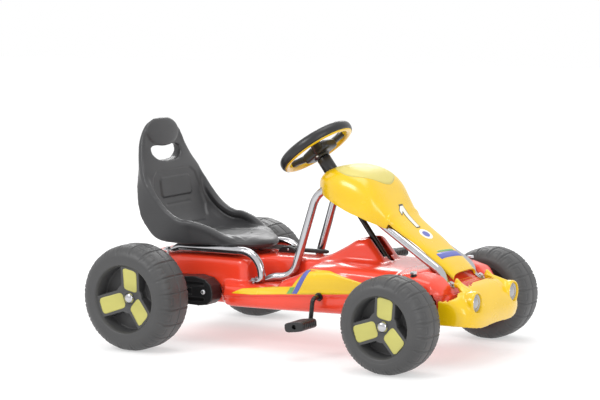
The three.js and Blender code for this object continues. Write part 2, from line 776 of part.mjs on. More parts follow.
addPart("crankshaft", crankshaft(), blackSteel);
addPart("crank_sprocket", sprocket(CRANK.x, CRANK.z, CRANK_TEETH), zinc);
addPart("axle_sprocket", sprocket(REAR.x, REAR.r, AXLE_TEETH), zinc);
addPart("chain", chain(), blackSteel);
for (const [name, side] of SIDES) {
  const [y0, y1] = side > 0 ? [146, 162] : [-162, -146];
  addPart(`crank_bush_${name}`, ring(CRANK.x, CRANK.z, y0, y1, 10.6, AXLE_R + RUN_GAP), blackPlastic);
  addPart(`pedal_${name}`, pedal(side), blackPlastic);
}

// ---------------------------------------------------------------- steering wheel and column
/** A ring around the column with a round section cut by a slanting line: the dark outer or the inner part. */
function rimPart(from, to) {
  const points = [];
  for (let k = 0; k <= 6; k++) {
    const a = from + ((to - from) * k) / 6;
    points.push(new THREE.Vector2(RIM.r + RIM.wide * Math.cos(a), RIM.tall * Math.sin(a)));
  }
  const chordMiddle = (from + to) / 2;
  for (const p of points) {
    p.x += 0.2 * Math.cos(chordMiddle);
    p.y += 0.2 * Math.sin(chordMiddle);
  }
  points.push(points[0].clone());
  const g = new THREE.LatheGeometry(points, 30);
  g.rotateX(Math.PI / 2);
  return toColumn(g, 0);
}

function steeringHub() {
  const spokes = [60, 180, 300].map((degrees) => {
    const g = new THREE.BoxGeometry(74, 26, 10);
    g.translate(49, 0, 0);
    g.rotateZ(THREE.MathUtils.degToRad(degrees));
    return toColumn(g, 0);
  });
  const pad = new THREE.BoxGeometry(78, 52, 22);
  pad.translate(4, 0, 0);
  const boss = rod(onColumn(6), onColumn(36), 22, 20);
  const body = joined([...spokes, toColumn(pad, 10), boss]);
  const bore = rod(onColumn(4), onColumn(60), SHAFT_R + RUN_GAP, 16);
  const bolt = rod(onColumn(29, 0, -60), onColumn(29, 0, 60), 3 + RUN_GAP, 10);
  return cutBy(body, [bore, bolt]).subtract(rimSpace());
}

/** The whole rim with a little room round it, as a tool. */
function rimSpace() {
  const g = new THREE.TorusGeometry(RIM.r, RIM.wide + 1, 12, 30);
  g.scale(1, 1, RIM.tall / RIM.wide);
  return toColumn(g, 0);
}

/** A rod along the column through one of the two places where a tie rod meets the shaft's arm. */
const pitmanRod = (side, s0, s1, radius) =>
  rod(
    onColumn(s0, PITMAN.reach, side * PITMAN.spread),
    onColumn(s1, PITMAN.reach, side * PITMAN.spread),
    radius,
  );

function steeringShaft() {
  const shaft = rod(onColumn(5), onColumn(458), SHAFT_R, 14);
  const g = new THREE.BoxGeometry(62, 50, 5);
  g.translate(-22, 0, 0);
  const arm = toColumn(g, 453);
  const slot = new THREE.BoxGeometry(2 * PITMAN.play, 2 * PITMAN.spread, 30);
  slot.translate(-PITMAN.reach, 0, 0);
  const holes = SIDES.map(([, side]) => pitmanRod(side, 440, 466, PITMAN.play));
  holes.push(toColumn(slot, 453));
  const bolt = rod(onColumn(29, 0, -60), onColumn(29, 0, 60), 3 + RUN_GAP, 10);
  return cutBy(joined([shaft, arm]), [...holes, bolt]);
}

const split = THREE.MathUtils.degToRad(-50);
addPart("steering_rim", rimPart(split, split + Math.PI), blackPlastic);
addPart("steering_grip_ring", rimPart(split + Math.PI, split + 2 * Math.PI), yellowPlastic);
addPart("steering_hub", steeringHub(), blackPlastic);
addPart("steering_shaft", steeringShaft(), blackSteel);
addPart("steering_bolt", rod(onColumn(29, 0, -28), onColumn(29, 0, 32), 3, 10), zinc);
const sleeveBore = rod(onColumn(36), onColumn(140), SHAFT_R + RUN_GAP, 16);
addPart("column_sleeve", rod(onColumn(37), onColumn(118), SLEEVE.outer, 20).subtract(sleeveBore), blackPlastic);

// ---------------------------------------------------------------- knuckles and tie rods
const armTip = (side) => V(FRONT.x - KINGPIN.arm, side * KINGPIN.y, 140);

function knuckle(side) {
  const kingpin = rodZ(FRONT.x, side * KINGPIN.y, 109, 236, KINGPIN.r, 14);
  const stubEnd = (FRONT.track + FRONT.width) / 2 - FRONT.dish - 4.4;
  const [y0, y1] = side > 0 ? [KINGPIN.y, stubEnd] : [-stubEnd, -KINGPIN.y];
  const collarFar = FRONT.track / 2 - FRONT.width / 2 + 14.5;
  const [c0, c1] = side > 0 ? [KINGPIN.y, collarFar] : [-collarFar, -KINGPIN.y];
  const tip = armTip(side);
  return joined([
    kingpin,
    rodY(FRONT.x, FRONT.r, y0, y1, AXLE_R),
    rodY(FRONT.x, FRONT.r, c0, c1, 10, 12),
    rod(V(FRONT.x, side * KINGPIN.y, 140), tip, 5.5, 10),
    rodZ(tip.x, tip.y, 136, 161, 4, 12),
  ]);
}

/** A tie rod from the knuckle's arm to the loose hole in the steering shaft's arm. */
function tieRod(side) {
  const outer = armTip(side).setZ(153);
  const inner = onColumn(462, PITMAN.reach, side * PITMAN.spread);
  const eye = rodZ(outer.x, outer.y, 148.5, 157.5, 9, 14);
  const body = joined([
    eye,
    rod(outer, inner, 4, 10),
    pitmanRod(side, 444, 465, PITMAN.pin),
  ]);
  return body.subtract(rodZ(outer.x, outer.y, 100, 200, 4.4, 12));
}

for (const [name, side] of SIDES) {
  addPart(`knuckle_${name}`, knuckle(side), blackSteel);
  addPart(`tie_rod_${name}`, tieRod(side), zinc);
  addPart(`kingpin_nut_${name}`, rodZ(FRONT.x, side * KINGPIN.y, 236.4, 243, 10, 6), zinc);
}

// ---------------------------------------------------------------- hand brake lever
const LEVER = { pivotX: -112, y: 30, z: 246.5 };

function leverBase() {
  const shape = new THREE.Shape();
  shape.moveTo(LEVER.pivotX - 34, LEVER.z - 8);
  shape.lineTo(LEVER.pivotX + 26, LEVER.z - 8);
  shape.quadraticCurveTo(LEVER.pivotX + 20, LEVER.z + 8, LEVER.pivotX, LEVER.z + 10);
  shape.quadraticCurveTo(LEVER.pivotX - 28, LEVER.z + 9, LEVER.pivotX - 34, LEVER.z - 8);
  const cheeks = plateY(shape, LEVER.y - 13, LEVER.y + 13, 6);
  const slot = box(90, 12.8, 40, V(LEVER.pivotX + 12, LEVER.y, LEVER.z + 14));
  const swing = rodY(LEVER.pivotX, LEVER.z, LEVER.y - 6.4, LEVER.y + 6.4, 9, 14);
  return cutBy(cheeks, [slot, swing, rodY(LEVER.pivotX, LEVER.z, 0, 60, 3.4, 12)]);
}

function brakeLever() {
  const handle = box(116, 12, 12, V(LEVER.pivotX + 58, LEVER.y, LEVER.z));
  const boss = rodY(LEVER.pivotX, LEVER.z, LEVER.y - 6, LEVER.y + 6, 7.4, 14);
  const tip = rodY(LEVER.pivotX + 116, LEVER.z, LEVER.y - 6, LEVER.y + 6, 6, 12);
  const bore = rodY(LEVER.pivotX, LEVER.z, LEVER.y - 20, LEVER.y + 20, 3.4, 12);
  return joined([handle, boss, tip]).subtract(bore);
}

addPart("brake_lever_base", leverBase(), blackPlastic);
addPart("brake_lever", brakeLever(), blackPlastic);
addPart("brake_lever_pin", rodY(LEVER.pivotX, LEVER.z, LEVER.y - 15, LEVER.y + 15, 3, 12), zinc);

export default kart;
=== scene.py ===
"""A child's pedal go kart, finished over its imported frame.

Metres in the scene, millimetres in the tables here. +X is the front, +Y the rider's left, +Z up.
"""
import json
import math

import bmesh
import bpy
import numpy as np
from mathutils import Matrix, Vector
from mathutils.bvhtree import BVHTree


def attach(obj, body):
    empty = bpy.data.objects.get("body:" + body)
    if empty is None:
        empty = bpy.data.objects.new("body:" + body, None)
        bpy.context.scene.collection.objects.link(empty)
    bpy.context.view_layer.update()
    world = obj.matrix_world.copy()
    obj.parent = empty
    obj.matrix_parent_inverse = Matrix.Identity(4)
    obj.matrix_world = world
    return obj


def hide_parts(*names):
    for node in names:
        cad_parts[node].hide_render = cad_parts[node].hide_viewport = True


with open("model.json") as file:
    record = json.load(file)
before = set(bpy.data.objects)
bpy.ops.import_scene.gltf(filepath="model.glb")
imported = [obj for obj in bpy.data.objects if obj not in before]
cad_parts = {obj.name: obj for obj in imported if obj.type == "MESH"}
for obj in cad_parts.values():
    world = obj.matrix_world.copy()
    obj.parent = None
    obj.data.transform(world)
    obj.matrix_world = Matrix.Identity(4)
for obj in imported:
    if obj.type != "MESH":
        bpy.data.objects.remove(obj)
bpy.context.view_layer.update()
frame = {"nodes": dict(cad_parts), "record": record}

MM = 0.001
SIDES = (("right", -1), ("left", 1))


# --- camera, light and floor
def unit(v):
    return np.asarray(v, float) / np.linalg.norm(v)


CAMERA_ANGLES = (31.0, 6.69, -0.64)  # azimuth, elevation and roll, in degrees
CAMERA_TARGET = np.array([-0.06185, 0.0, 0.38804])
CAMERA_DISTANCE = 5.9433
FOCAL_LENGTH, SENSOR_WIDTH = 131.12, 36.0
LIGHT_AIM = Vector((0.0, 0.0, 0.25))
LIGHTS = (  # name, place, size, power
    ("key", (-1.2, -2.8, 2.5), (1.3, 0.9), 42),
    ("fill", (3.0, -1.8, 1.4), (0.9, 1.6), 20),
    ("rim", (-1.6, 2.6, 2.0), (2.0, 0.8), 30),
    ("overhead", (0.2, 0.0, 3.0), (1.6, 1.6), 22),
)
WHITE = (1.0, 1.0, 1.0, 1.0)


def add_camera():
    azimuth, elevation, roll = (math.radians(a) for a in CAMERA_ANGLES)
    back = np.array([
        math.sin(azimuth) * math.cos(elevation),
        -math.cos(azimuth) * math.cos(elevation),
        math.sin(elevation),
    ])
    right = np.array([math.cos(azimuth), math.sin(azimuth), 0.0])
    up = np.cross(back, right)
    turned_right = right * math.cos(roll) + up * math.sin(roll)
    turned_up = up * math.cos(roll) - right * math.sin(roll)
    data = bpy.data.cameras.new("camera")
    data.lens = FOCAL_LENGTH
    data.sensor_width = SENSOR_WIDTH
    data.clip_end = 100.0
    camera = bpy.data.objects.new("camera", data)
    bpy.context.scene.collection.objects.link(camera)
    axes = Matrix(np.column_stack([turned_right, turned_up, back]).tolist())
    camera.matrix_world = Matrix.Translation(CAMERA_TARGET + CAMERA_DISTANCE * back) @ axes.to_4x4()
    bpy.context.scene.camera = camera


def area_light(name, at, size, power):
    data = bpy.data.lights.new(name, "AREA")
    data.shape = "RECTANGLE"
    data.size, data.size_y = size
    data.energy = power
    light = bpy.data.objects.new(name, data)
    bpy.context.scene.collection.objects.link(light)
    light.location = at
    light.rotation_euler = (LIGHT_AIM - Vector(at)).to_track_quat("-Z", "Y").to_euler()


def add_studio():
    for light in LIGHTS:
        area_light(*light)
    world = bpy.data.worlds.new("studio")
    world.use_nodes = True
    put(world.node_tree.nodes["Background"], {"Color": WHITE, "Strength": 1.0})
    bpy.context.scene.view_settings.view_transform = "Standard"
    bpy.context.scene.world = world
    bpy.ops.mesh.primitive_plane_add(size=24.0)
    floor = bpy.context.object
    floor.name = "floor"
    material, shader = new_material("floor", 0.9)
    put(shader, {"Base Color": (0.5, 0.5, 0.5, 1.0), "Emission Color": WHITE, "Emission Strength": 0.5})
    floor.data.materials.append(material)


# --- materials
def put(node, values):
    """Sets a node's own input sockets."""
    for name, value in values.items():
        node.inputs[name].default_value = value


def new_node(tree, kind, **values):
    node = tree.nodes.new("ShaderNode" + kind)
    put(node, values)
    return node


def new_material(name, roughness, metallic=0.0, coat=0.0):
    material = bpy.data.materials.new(name)
    material.use_nodes = True
    shader = material.node_tree.nodes["Principled BSDF"]
    put(shader, {"Roughness": roughness, "Metallic": metallic, "Coat Weight": coat, "Coat Roughness": 0.12})
    return material, shader


def noise(tree, scale, detail=4.0, stretch=(1.0, 1.0, 1.0)):
    """A noise value over the object's own coordinates."""
    place = new_node(tree, "TexCoord")
    mapping = new_node(tree, "Mapping", Scale=stretch)
    texture = new_node(tree, "TexNoise", Scale=scale, Detail=detail)
    tree.links.new(place.outputs["Object"], mapping.inputs["Vector"])
    tree.links.new(mapping.outputs["Vector"], texture.inputs["Vector"])
    return texture.outputs["Fac"]


def ramp(tree, value, low, high):
    """A colour that runs from one (position, colour) stop to another with a value."""
    node = new_node(tree, "ValToRGB")
    for element, (position, color) in zip(node.color_ramp.elements, (low, high)):
        element.position = position
        element.color = (*color, 1.0)
    tree.links.new(value, node.inputs["Fac"])
    return node.outputs["Color"]


def bump(tree, shader, layers):
    """Chained bumps: each layer is (height, strength, distance in metres)."""
    target = shader
    for height, strength, distance in reversed(layers):
        node = new_node(tree, "Bump", Strength=strength, Distance=distance)
        tree.links.new(height, node.inputs["Height"])
        tree.links.new(node.outputs["Normal"], target.inputs["Normal"])
        target = node


def scaled(color, factor):
    return tuple(min(1.0, c * factor) for c in color)


def moulded_plastic(name, color, roughness, grain=0.0, coat=0.0, spread=0.06):
    """Moulded plastic: faint flow marks in the colour, a slightly wavy skin, and scuffs in the gloss."""
    material, shader = new_material(name, roughness, 0.0, coat)
    tree = material.node_tree
    flow = noise(tree, 7.0, 3.0, (1.0, 1.0, 2.2))
    tint = ramp(tree, flow, (0.3, scaled(color, 1 - spread)), (0.7, scaled(color, 1 + spread)))
    tree.links.new(tint, shader.inputs["Base Color"])
    low, high = max(roughness - 0.03, 0.02), roughness + 0.06
    gloss = ramp(tree, noise(tree, 26.0, 2.5), (0.35, (low,) * 3), (0.75, (high,) * 3))
    tree.links.new(gloss, shader.inputs["Roughness"])
    layers = [(noise(tree, 14.0, 1.0), 0.1, 0.003)]
    if grain:
        layers.append((noise(tree, 900.0, 2.0), grain, 0.0004))
    bump(tree, shader, layers)
    return material


def plated_metal(name, color, roughness, scratch=0.05):
    """Plated metal with faint polishing marks and small stains in its gloss."""
    material, shader = new_material(name, roughness, 1.0)
    tree = material.node_tree
    tint = ramp(tree, noise(tree, 24.0, 5.0), (0.3, scaled(color, 0.93)), (0.7, color))
    tree.links.new(tint, shader.inputs["Base Color"])
    gloss = ramp(tree, noise(tree, 120.0), (0.35, (roughness,) * 3), (0.8, (roughness + 0.1,) * 3))
    tree.links.new(gloss, shader.inputs["Roughness"])
    bump(tree, shader, [(noise(tree, 400.0, 2.0), scratch, 0.0003)])
    return material


RED = moulded_plastic("red_plastic", (0.76, 0.050, 0.020), 0.2, coat=0.3)
YELLOW = moulded_plastic("yellow_plastic", (0.74, 0.47, 0.002), 0.24, coat=0.25)
SEAT_GREY = moulded_plastic("seat_grey", (0.036, 0.036, 0.038), 0.37, grain=0.03, spread=0.08)
TYRE_GREY = moulded_plastic("tyre_grey", (0.052, 0.052, 0.053), 0.46, grain=0.2, spread=0.08)
DARK_GREY = moulded_plastic("dark_grey", (0.035, 0.035, 0.036), 0.42, grain=0.2)
BLACK = moulded_plastic("black_plastic", (0.012, 0.012, 0.013), 0.34, grain=0.2, spread=0.12)
BLACK_PAINT = moulded_plastic("black_paint", (0.008, 0.008, 0.008), 0.28, grain=0.1, spread=0.15)
CHROME = plated_metal("chrome", (0.52, 0.52, 0.54), 0.1)
ZINC = plated_metal("zinc", (0.60, 0.61, 0.63), 0.26, 0.12)
GREASED = plated_metal("greased_steel", (0.16, 0.15, 0.14), 0.42, 0.2)
STICKER_OLIVE = moulded_plastic("sticker_olive", (0.48, 0.45, 0.12), 0.4, grain=0.1, spread=0.1)
STICKER_PALE = moulded_plastic("sticker_pale", (0.60, 0.52, 0.14), 0.42, spread=0.03)
STICKER_WHITE = moulded_plastic("sticker_white", (0.80, 0.79, 0.70), 0.34, spread=0.02)
STICKER_INK = moulded_plastic("sticker_ink", (0.05, 0.045, 0.035), 0.4, spread=0.05)
STICKER_BLUE = moulded_plastic("sticker_blue", (0.10, 0.12, 0.42), 0.34, spread=0.04)
STICKER_GREEN = moulded_plastic("sticker_green", (0.14, 0.36, 0.10), 0.34, spread=0.04)
LENS = plated_metal("lamp_silver", (0.42, 0.42, 0.43), 0.2, 0.1)


# --- mesh tools
def mesh_object(name, points, faces, material, smooth=True):
    mesh = bpy.data.meshes.new(name)
    mesh.from_pydata((np.asarray(points, float).reshape(-1, 3) * MM).tolist(), [], faces)
    mesh.materials.append(material)
    obj = bpy.data.objects.new(name, mesh)
    bpy.context.scene.collection.objects.link(obj)
    tidy(obj, smooth)
    return obj


def tidy(obj, smooth=True):
    """Faces out, loose doubles merged, smooth shading."""
    work = bmesh.new()
    work.from_mesh(obj.data)
    bmesh.ops.remove_doubles(work, verts=work.verts, dist=1e-6)
    bmesh.ops.recalc_face_normals(work, faces=work.faces)
    for face in work.faces:
        face.smooth = smooth
    work.to_mesh(obj.data)
    work.free()


def grid_faces(rows, columns, wrap=False, ring=False, start=0):
    """Quads over a grid of points; wrap joins the last column to the first, ring the last row."""
    faces = []
    for i in range(rows if ring else rows - 1):
        for j in range(columns if wrap else columns - 1):
            below, beside = (i + 1) % rows, (j + 1) % columns
            faces.append(tuple(start + k for k in (
                i * columns + j, i * columns + beside, below * columns + beside, below * columns + j,
            )))
    return faces


def tube_mesh(rings, closed=False):
    """Points and faces of a surface through rings of points, with flat ends unless closed."""
    rings = np.asarray(rings, float)
    rows, columns = rings.shape[:2]
    faces = grid_faces(rows, columns, wrap=True, ring=closed)
    if not closed:
        faces.append(tuple(range(columns)))
        faces.append(tuple(range((rows - 1) * columns, rows * columns)))
    return rings.reshape(-1, 3), faces


def sheet_mesh(front, back):
    """Points and faces of the closed solid between two grids of points."""
    rows, columns = front.shape[:2]
    size = rows * columns
    index = np.arange(size).reshape(rows, columns)
    faces = grid_faces(rows, columns) + grid_faces(rows, columns, start=size)
    edge = [*index[0], *index[1:, -1], *index[-1, -2::-1], *index[-2:0:-1, 0]]
    edge = [int(k) for k in edge]
    for a, b in zip(edge, edge[1:] + edge[:1]):
        faces.append((a, b, b + size, a + size))
    return np.vstack([front.reshape(-1, 3), back.reshape(-1, 3)]), faces


def spline(table, per=6):
    """A smooth curve through the rows of a table, with `per` steps between rows."""
    p = np.asarray(table, float)
    q = np.vstack([2 * p[0] - p[1], p, 2 * p[-1] - p[-2]])
    rows = []
    for i in range(len(p) - 1):
        a, b, c, d = q[i : i + 4]
        for t in np.arange(per) / per:
            cubic = (3 * b - a - 3 * c + d) * t**3
            rows.append(0.5 * (2 * b + (c - a) * t + (2 * a - 5 * b + 4 * c - d) * t * t + cubic))
    return np.array(rows + [p[-1]])


def baked(obj):
    """Replaces the object's mesh by what its modifiers make of it."""
    graph = bpy.context.evaluated_depsgraph_get()
    mesh = bpy.data.meshes.new_from_object(obj.evaluated_get(graph))
    obj.modifiers.clear()
    obj.data = mesh
    return obj


def joined(parts):
    """The points and faces of several closed parts as one mesh."""
    points, faces, start = [], [], 0
    for part_points, part_faces in parts:
        points.append(np.asarray(part_points, float).reshape(-1, 3))
        faces += [tuple(start + k for k in face) for face in part_faces]
        start += len(points[-1])
    return np.vstack(points), faces


def remeshed(obj, voxel):
    modifier = obj.modifiers.new("skin", "REMESH")
    modifier.mode = "VOXEL"
    modifier.voxel_size = voxel * MM
    modifier.adaptivity = 0.0
    return baked(obj)


def shaded_smooth(obj):
    for polygon in obj.data.polygons:
        polygon.use_smooth = True
    return obj


def smoothed(obj, rounds, factor=0.5):
    modifier = obj.modifiers.new("soft", "SMOOTH")
    modifier.iterations = rounds
    modifier.factor = factor
    return shaded_smooth(baked(obj))


def cut(obj, tools, material, solver="EXACT"):
    """Takes the volume of the tools, which are meshes, out of the object."""
    cutters = [mesh_object("tool", *tool, material) for tool in tools]
    for cutter in cutters:
        modifier = obj.modifiers.new("cut", "BOOLEAN")
        modifier.operation = "DIFFERENCE"
        modifier.object = cutter
        modifier.solver = solver
    baked(obj)
    for cutter in cutters:
        bpy.data.objects.remove(cutter)


def moulding(name, parts, tools, voxel, rounds, material):
    """Closed parts fused into one moulded skin, cut by tools, with every edge rounded."""
    obj = remeshed(mesh_object(name, *joined(parts), material), voxel)
    if tools:
        cut(obj, tools, material)
        remeshed(obj, voxel)
    smoothed(obj, rounds)
    obj.data.materials.clear()
    obj.data.materials.append(material)
    return obj


def placed(obj, body, *nodes, slot=None):
    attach(obj, body)
    if nodes:
        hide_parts(*nodes)


def fitted(name, mesh, material, body, *nodes, slot=None, smooth=True):
    """A piece made straight from points and faces."""
    placed(mesh_object(name, *mesh, material, smooth), body, *nodes, slot=slot)


def bend(t, power):
    """The signed power that turns a circle into a rounded rectangle."""
    return np.sign(t) * np.abs(t) ** (2 / power)


def round_angles(count, shift=0.0):
    return 2 * np.pi * (np.arange(count) + shift) / count


def block(stations, corners, per=4, count=48):
    """A loft of rounded rectangles; stations are x, half-width, bottom, top."""
    angles = round_angles(count, 0.5)
    rings = []
    table = np.asarray(stations, float)
    for s in np.linspace(0, len(table) - 1, per * (len(table) - 1) + 1):
        x, half, low, high = (np.interp(s, range(len(table)), column) for column in table.T)
        y = half * bend(np.cos(angles), corners)
        z = (low + high) / 2 + (high - low) / 2 * bend(np.sin(angles), corners)
        rings.append(np.column_stack([np.full(count, x), y, z]))
    return tube_mesh(rings)


def bent_path(corners, radii, step=6.0):
    """Points along straight runs that turn each inner corner on an arc of its radius."""
    corners = [np.asarray(c, float) for c in corners]
    points = [corners[0]]
    for before, corner, after, radius in zip(corners, corners[1:], corners[2:], radii):
        a, b = unit(before - corner), unit(after - corner)
        half = math.acos(np.clip(a @ b, -1, 1)) / 2
        reach = radius / math.tan(half)
        centre = corner + unit(a + b) * radius / math.sin(half)
        start, end = corner + a * reach, corner + b * reach
        turn = math.pi - 2 * half
        steps = max(3, int(radius * turn / step) + 1)
        u = unit(start - centre)
        w = unit((end - centre) - ((end - centre) @ u) * u)
        for k in range(steps + 1):
            t = turn * k / steps
            points.append(centre + radius * (u * math.cos(t) + w * math.sin(t)))
    points = np.array(points + [corners[-1]])
    return resampled(points, max(3, int(arc_lengths(points)[-1] / step) + 1))


def arc_lengths(points):
    """How far along a path each of its points is."""
    return np.r_[0, np.cumsum(np.linalg.norm(np.diff(points, axis=0), axis=1))]


def resampled(points, count):
    """The same path with `count` evenly spaced points."""
    lengths = arc_lengths(points)
    places = np.linspace(0, lengths[-1], count)
    return np.column_stack([np.interp(places, lengths, column) for column in points.T])


def sweep(points, section, upright=(0.0, 1.0, 0.0), sides=28):
    """A tube along points; section(s, total) gives its half-sizes across and along `upright`."""
    points = np.asarray(points, float)
    upright = np.asarray(upright)
    lengths = arc_lengths(points)
    angles = round_angles(sides)
    rings = []
    for point, tangent, s in zip(points, np.gradient(points, axis=0), lengths):
        along = unit(tangent)
        across = unit(upright - (upright @ along) * along)
        other = np.cross(along, across)
        wide, thick, power = section(s, lengths[-1])
        rings.append(
            point
            + wide * bend(np.cos(angles), power)[:, None] * across
            + thick * bend(np.sin(angles), power)[:, None] * other
        )
    return tube_mesh(rings)


def round_section(radius):
    return lambda s, total: (radius, radius, 2)


def rod_mesh(start, end, radius, sides=28, end_radius=None, edge=0.6):
    """A straight rod with slightly rounded ends."""
    start, end = np.asarray(start, float), np.asarray(end, float)
    end_radius = radius if end_radius is None else end_radius
    axis = unit(end - start)
    side = unit(np.cross(axis, [0.31, 0.17, 0.93]))
    other = np.cross(axis, side)
    length = np.linalg.norm(end - start)
    edge = min(edge, length / 3, radius / 2, end_radius / 2)
    spots = [(0, radius - edge), (edge, radius)]
    spots += [(length - edge, end_radius), (length, end_radius - edge)]
    angles = round_angles(sides)
    circle = np.cos(angles)[:, None] * side + np.sin(angles)[:, None] * other
    return tube_mesh([start + along * axis + r * circle for along, r in spots])


def box_mesh(size, centre):
    """A plain box, as a part of a moulding or a cutting tool."""
    signs = np.array([(x, y, z) for x in (-1, 1) for y in (-1, 1) for z in (-1, 1)], float)
    faces = [(0, 1, 3, 2), (4, 6, 7, 5), (0, 4, 5, 1), (2, 3, 7, 6), (0, 2, 6, 4), (1, 5, 7, 3)]
    return signs * (np.asarray(size, float) / 2) + np.asarray(centre, float), faces


def lathe_mesh(profile, sides=72):
    """A profile of (radius, height) turned about Z; radius 0 at both ends closes it."""
    angles = round_angles(sides)
    circle = np.column_stack([np.cos(angles), np.sin(angles), np.zeros(sides)])
    return tube_mesh([max(r, 1e-3) * circle + [0, 0, z] for r, z in profile])


def turned(mesh, matrix, offset):
    points, faces = mesh
    return np.asarray(points) @ np.asarray(matrix, float).T + np.asarray(offset, float), faces


def about_y(angle):
    c, s = math.cos(angle), math.sin(angle)
    return np.array([[c, 0, s], [0, 1, 0], [-s, 0, c]])


def about_z(angle):
    c, s = math.cos(angle), math.sin(angle)
    return np.array([[c, -s, 0], [s, c, 0], [0, 0, 1]])


def step(value, low, high):
    """A smooth rise from 0 at low to 1 at high."""
    t = np.clip((np.asarray(value, float) - low) / (high - low), 0, 1)
    return t * t * (3 - 2 * t)


def fall(value, low, high):
    """A smooth fall from 1 at low to 0 at high."""
    return 1 - step(value, low, high)


def displaced(obj, offset):
    """Moves each vertex along its normal by offset(points, normals), in millimetres."""
    mesh = obj.data
    count = len(mesh.vertices)
    points, normals = np.empty(count * 3), np.empty(count * 3)
    mesh.vertices.foreach_get("co", points)
    mesh.vertex_normals.foreach_get("vector", normals)
    points, normals = points.reshape(-1, 3) / MM, normals.reshape(-1, 3)
    moved = points + normals * offset(points, normals)[:, None]
    mesh.vertices.foreach_set("co", (moved * MM).ravel())
    mesh.update()


def revolved(section, sides=96):
    """A closed section of (radius, height) turned about Z into a ring."""
    radius, height = np.asarray(section, float).T
    rings = [np.column_stack([radius * np.cos(a), radius * np.sin(a), height]) for a in round_angles(sides)]
    return tube_mesh(rings, closed=True)


def extruded_y(outline, y0, y1):
    """An outline of (x, z) made into a plate between two Y values."""
    return tube_mesh([[(x, y, z) for x, z in outline] for y in (y0, y1)])


STICKER_DEPTH = 0.5


def surface_of(obj):
    return BVHTree.FromObject(obj, bpy.context.evaluated_depsgraph_get())


def draped(name, tree, starts, direction, material, lift):
    """A thin sticker: a grid of points shot along a direction onto a surface."""
    front, back = np.empty_like(starts), np.empty_like(starts)
    way = Vector(direction)
    for index in np.ndindex(starts.shape[:2]):
        hit, normal, _, _ = tree.ray_cast(Vector(starts[index] * MM), way)
        if hit is None:
            raise RuntimeError(f"{name}: no surface under {starts[index]}")
        if normal.dot(way) > 0:
            normal = -normal
        front[index] = np.array(hit + normal * lift * MM) / MM
        back[index] = np.array(hit - normal * STICKER_DEPTH * MM) / MM
    return mesh_object(name, *sheet_mesh(front, back), material)


def disc_grid(half_u, half_v, count):
    """A square grid squeezed to an oval."""
    line = np.linspace(-1, 1, count)
    u, v = np.meshgrid(line, line, indexing="ij")
    return half_u * u * np.sqrt(1 - v * v / 2), half_v * v * np.sqrt(1 - u * u / 2)


def band_grid(upper, lower, columns, rows):
    """A grid between two outlines of (a, b) points that run the same way."""
    top, bottom = (resampled(np.asarray(table, float), columns) for table in (upper, lower))
    blend = np.linspace(0, 1, rows)[:, None, None]
    return top[None] * (1 - blend) + bottom[None] * blend


# --- wheels
SPOKES = [math.radians(78 + 120 * k) for k in range(3)]
REAR = dict(x=-393, r=143, width=126, track=620, ring=96, dish=30, sticker=82)
FRONT = dict(x=373, r=125, width=122, track=582, ring=84.5, dish=21, sticker=76)
LUGS = 20
LUG_PITCH = 2 * math.pi / LUGS
POCKET_FLOOR = 50
SPOKE_HALF = 30
BORE = 6.8


def wheel_face(size, radius, angle):
    """Y of the wheel's outer face: a dished disc with three deep pockets between flat spokes."""
    out = -size["width"] / 2
    rise = np.clip((radius - 24) / (size["ring"] - 8 - 24), 0, 1)
    base = out + size["dish"] + 4 + (10 - size["dish"] - 4) * rise
    outside = np.full(np.broadcast(radius, angle).shape, 1e3)
    for spoke in SPOKES:
        along, across = radius * np.cos(angle - spoke), radius * np.sin(angle - spoke)
        outside = np.minimum(outside, np.where(along > 0, abs(across) - SPOKE_HALF, 1e3))
    inside = np.minimum(np.minimum(outside, radius - 42), size["ring"] - 7 - radius)
    pocket = step(inside, -0.5, 2.5)
    crown = 1.6 * np.clip(1 - (outside + SPOKE_HALF) / SPOKE_HALF, 0, 1) ** 0.5
    floor = base + (out + POCKET_FLOOR - base) * pocket
    return np.where(pocket > 0, floor, base) - crown * (outside < 0)


def tread_radius(size, radius, angle, y):
    """The radius with the wheel's faint flats, its shoulder lugs and its middle groove."""
    off = (angle + math.pi / 2 + LUG_PITCH / 2) % LUG_PITCH - LUG_PITCH / 2
    radius = radius * (1 + 0.45 * (1 / np.cos(off) - 1))
    near = step(radius, size["ring"] + 14, size["r"] - 12)
    gap = fall(abs(abs(off) - LUG_PITCH / 2) * radius, 1.2, 3.2)
    inward = size["width"] / 2 - abs(y)
    thumb = fall(abs(abs(off) * radius - 9), 0.8, 2.2)
    thumb = np.maximum(thumb, (abs(off) * radius < 9) * fall(abs(inward - 30), 1, 3))
    deep = fall(abs(inward - 18), 12, 15)
    middle = fall(abs(y), 0.8, 2.4)
    return radius - 2.6 * gap * near * (1 - middle) - 1.5 * thumb * deep * near - 2.2 * middle


def wheel_angles():
    """Angles round the wheel, closer together at the grooves between the lugs."""
    fine = np.radians([-9, -8.6, -8.2, -7.8, -7.2])
    coarse = np.radians(np.linspace(-6.2, 6.2, 13))
    one = np.r_[fine, coarse, -fine[:0:-1]]
    return np.concatenate([one - math.pi / 2 + LUG_PITCH * k for k in range(LUGS)])


